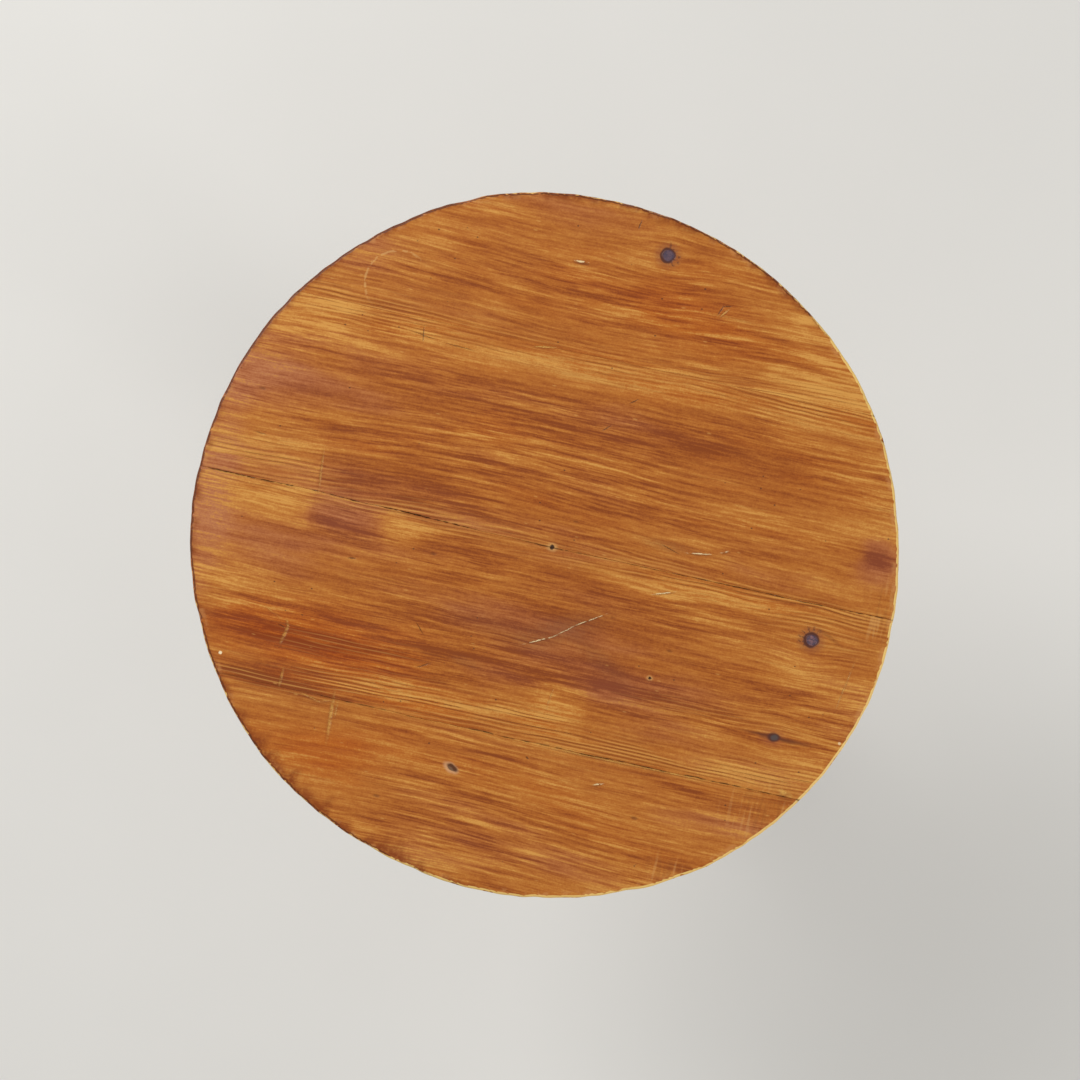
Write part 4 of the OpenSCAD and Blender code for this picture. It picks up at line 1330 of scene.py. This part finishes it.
def make_leg(node, bearing, seed):
    points, wear_dirt_and_shade = [], []
    edges = (resampled(line, LEG_STATIONS) for line in (LEG_UPPER, LEG_LOWER))
    for t, up, down in zip(np.arange(LEG_STATIONS) / (LEG_STATIONS - 1), *edges):
        middle = (up + down) / 2
        half = np.linalg.norm(up - down) / 2
        lean = (up - down) / (2 * half)
        thick = LEG_HALF_THICKNESS / MM * (1 - 0.16 * smooth(0.25, 0.70, t) + 0.42 * smooth(0.72, 0.90, t))
        if t > TOE_START:
            thick *= math.sqrt(max(1 - ((t - TOE_START) / TOE_LENGTH) ** 2, 0.0))
        corner = 0.10 + 0.75 * smooth(0.10, 0.62, t)
        side, rise, sharp = rounded_box(max(thick, 0.6), half, corner, LEG_SECTION)
        along, height = middle[0] + rise * lean[0], middle[1] + rise * lean[1]
        points.append(np.stack([along, side, height], -1))
        rub = sharp * (0.35 + 0.25 * smooth(0.1, 0.5, t)) + 0.35 * smooth(0.72, 0.84, t) * (rise > 0)
        # Rubbed corners and toe, painted shade where the leg meets the drum, and darker towards the floor
        wear_dirt_and_shade.append(rub - 1.0 * smooth(50, 39, along) - 0.7 * smooth(30, 12, height))
    faces = [face[::-1] for face in ring_faces(LEG_STATIONS, LEG_SECTION)]
    start = LEG_STATIONS * LEG_SECTION
    faces += [tuple(range(LEG_SECTION)), tuple(range(start - 1, start - 1 - LEG_SECTION, -1))]

    pad = divided(softened(PAD_PROFILE, radius=0.8), longest=3.0)
    a, r, h = turned(pad, PAD_STEPS)
    points.append(np.stack([PAD_AT + r * np.cos(a), r * np.sin(a), h], -1).reshape(-1, 3))
    wear_dirt_and_shade.append(0.2 - 1.0 * smooth(4, 0, h.ravel()))
    faces += [tuple(start + v for v in face) for face in ring_faces(len(pad), PAD_STEPS)]

    x, y, z = np.concatenate(points).T
    uneven = 0.16 * ripple(x, z + y, seed, 60, 40)
    uneven = uneven + 0.06 * ripple(x, z - y, seed + 1, 14, 14)
    y = y + np.sign(y) * uneven * smooth(2, 10, np.abs(y))
    x, y, z = x * MM, y * MM, z * MM
    along, across = rotated(x, z, math.radians(LEG_GRAIN))
    attributes = {
        "grain": np.stack([along + seed, y, across + 0.05 * (seed % 7)], -1),
        "wear_dirt_and_shade": np.concatenate(wear_dirt_and_shade),
    }
    points = np.stack([*rotated(x, y, math.radians(bearing)), z], -1)
    make_piece(node + "_shaped", points, faces, "base", node, [LEG_WOOD], attributes)


for node, bearing, seed in (("leg_back", 90, 3), ("leg_left", 210, 7), ("leg_right", 330, 11)):
    make_leg(node, bearing, seed)

# ---- The parts that keep their CAD shapes ----

BEVEL_STEPS = 3
# Edges flatter than this are not softened, in degrees
BEVEL_LEAST = 50


def dress(node, material, edge):
    """Gives a CAD node its material, and rounds its sharp edges."""
    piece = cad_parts[node]
    piece.data.materials.clear()
    piece.data.materials.append(material)
    if edge:
        bevel = piece.modifiers.new("edge", "BEVEL")
        bevel.width = edge
        bevel.segments = BEVEL_STEPS
        bevel.limit_method = "ANGLE"
        bevel.angle_limit = math.radians(BEVEL_LEAST)


for material, edge, nodes in (
    (BLOCK_WOOD, 0.9 * MM, ["block"]),
    (CLEAT_WOOD, 0.9 * MM, ["cleat_left", "cleat_right"]),
    (PAD_WOOD, 0.7 * MM, ["button_pad"]),
    (BUTTON_WOOD, 1.2 * MM, ["turn_button"]),
    (PIN_WOOD, 0, ["pivot_pin_left", "pivot_pin_right"]),
    (WEDGE_WOOD, 0, ["tenon_wedge"]),
    (IRON, 0, ["cleat_screws_left", "cleat_screws_right", "pad_screws", "button_screw", "brace_screws"]),
    (IRON, 0.2 * MM, ["button_washer"]),
    (IRON, 0.4 * MM, ["iron_brace"]),
):
    for node in nodes:
        dress(node, material, edge)

# ---- Floor, light and camera ----

FLOOR_SIDE = 40.0
LENS = 85.0
SENSOR = 36.0
# How much the picture shows at the height of the top
VIEW_WIDTH = 0.914
CAMERA_TURN = math.radians(12.1)
CAMERA_SHIFT = (-0.0064, 0.0039)
# Lights: power in watts, diameter, place to the right and towards the top of the picture, height, and the
# height on the axis at which each is aimed
LIGHTS = {
    "overhead": (99, 1.5, -2.0, 2.0, 3.2, 0.6),
    "fill": (16, 0.9, 1.7, -1.2, 1.3, 0.7),
}
SKY_COLOUR = (1.0, 0.99, 0.97, 1)
SKY_STRENGTH = 0.5


def make_floor():
    s = Shader("pale_floor")
    soft = s.noise(s.place(), (3, 3, 3), 3, 0.5)
    colour = s.mix(soft, (0.70, 0.69, 0.66), (0.74, 0.73, 0.70))
    half = FLOOR_SIDE / 2
    corners = [(-half, -half, 0), (half, -half, 0), (half, half, 0), (-half, half, 0)]
    mesh = bpy.data.meshes.new("floor")
    mesh.from_pydata(corners, [], [(0, 1, 2, 3)])
    mesh.materials.append(s.finish(colour, 0.85, specular=0.2))
    floor = bpy.data.objects.new("floor", mesh)
    link(floor)


def make_light(name, power, size, right, up, height, target_height):
    data = bpy.data.lights.new(name, "AREA")
    data.shape = "DISK"
    data.size = size
    data.energy = power
    light = bpy.data.objects.new(name, data)
    light.location = Matrix.Rotation(CAMERA_TURN, 3, "Z") @ Vector((right, up, height))
    light.rotation_mode = "QUATERNION"
    light.rotation_quaternion = (Vector((0, 0, target_height)) - light.location).to_track_quat("-Z", "Y")
    link(light)


def make_camera():
    data = bpy.data.cameras.new("camera")
    data.lens = LENS
    data.sensor_width = SENSOR
    camera = bpy.data.objects.new("camera", data)
    camera.location = (*CAMERA_SHIFT, TOP_Z + VIEW_WIDTH * LENS / SENSOR)
    camera.rotation_euler = (0, 0, CAMERA_TURN)
    link(camera)
    bpy.context.scene.camera = camera


def make_world():
    world = bpy.data.worlds.new("studio")
    world.use_nodes = True
    background = world.node_tree.nodes["Background"]
    background.inputs["Color"].default_value = SKY_COLOUR
    background.inputs["Strength"].default_value = SKY_STRENGTH
    bpy.context.scene.world = world


make_floor()
for name, values in LIGHTS.items():
    make_light(name, *values)
make_world()
make_camera()
bpy.context.scene.view_settings.view_transform = "Standard"
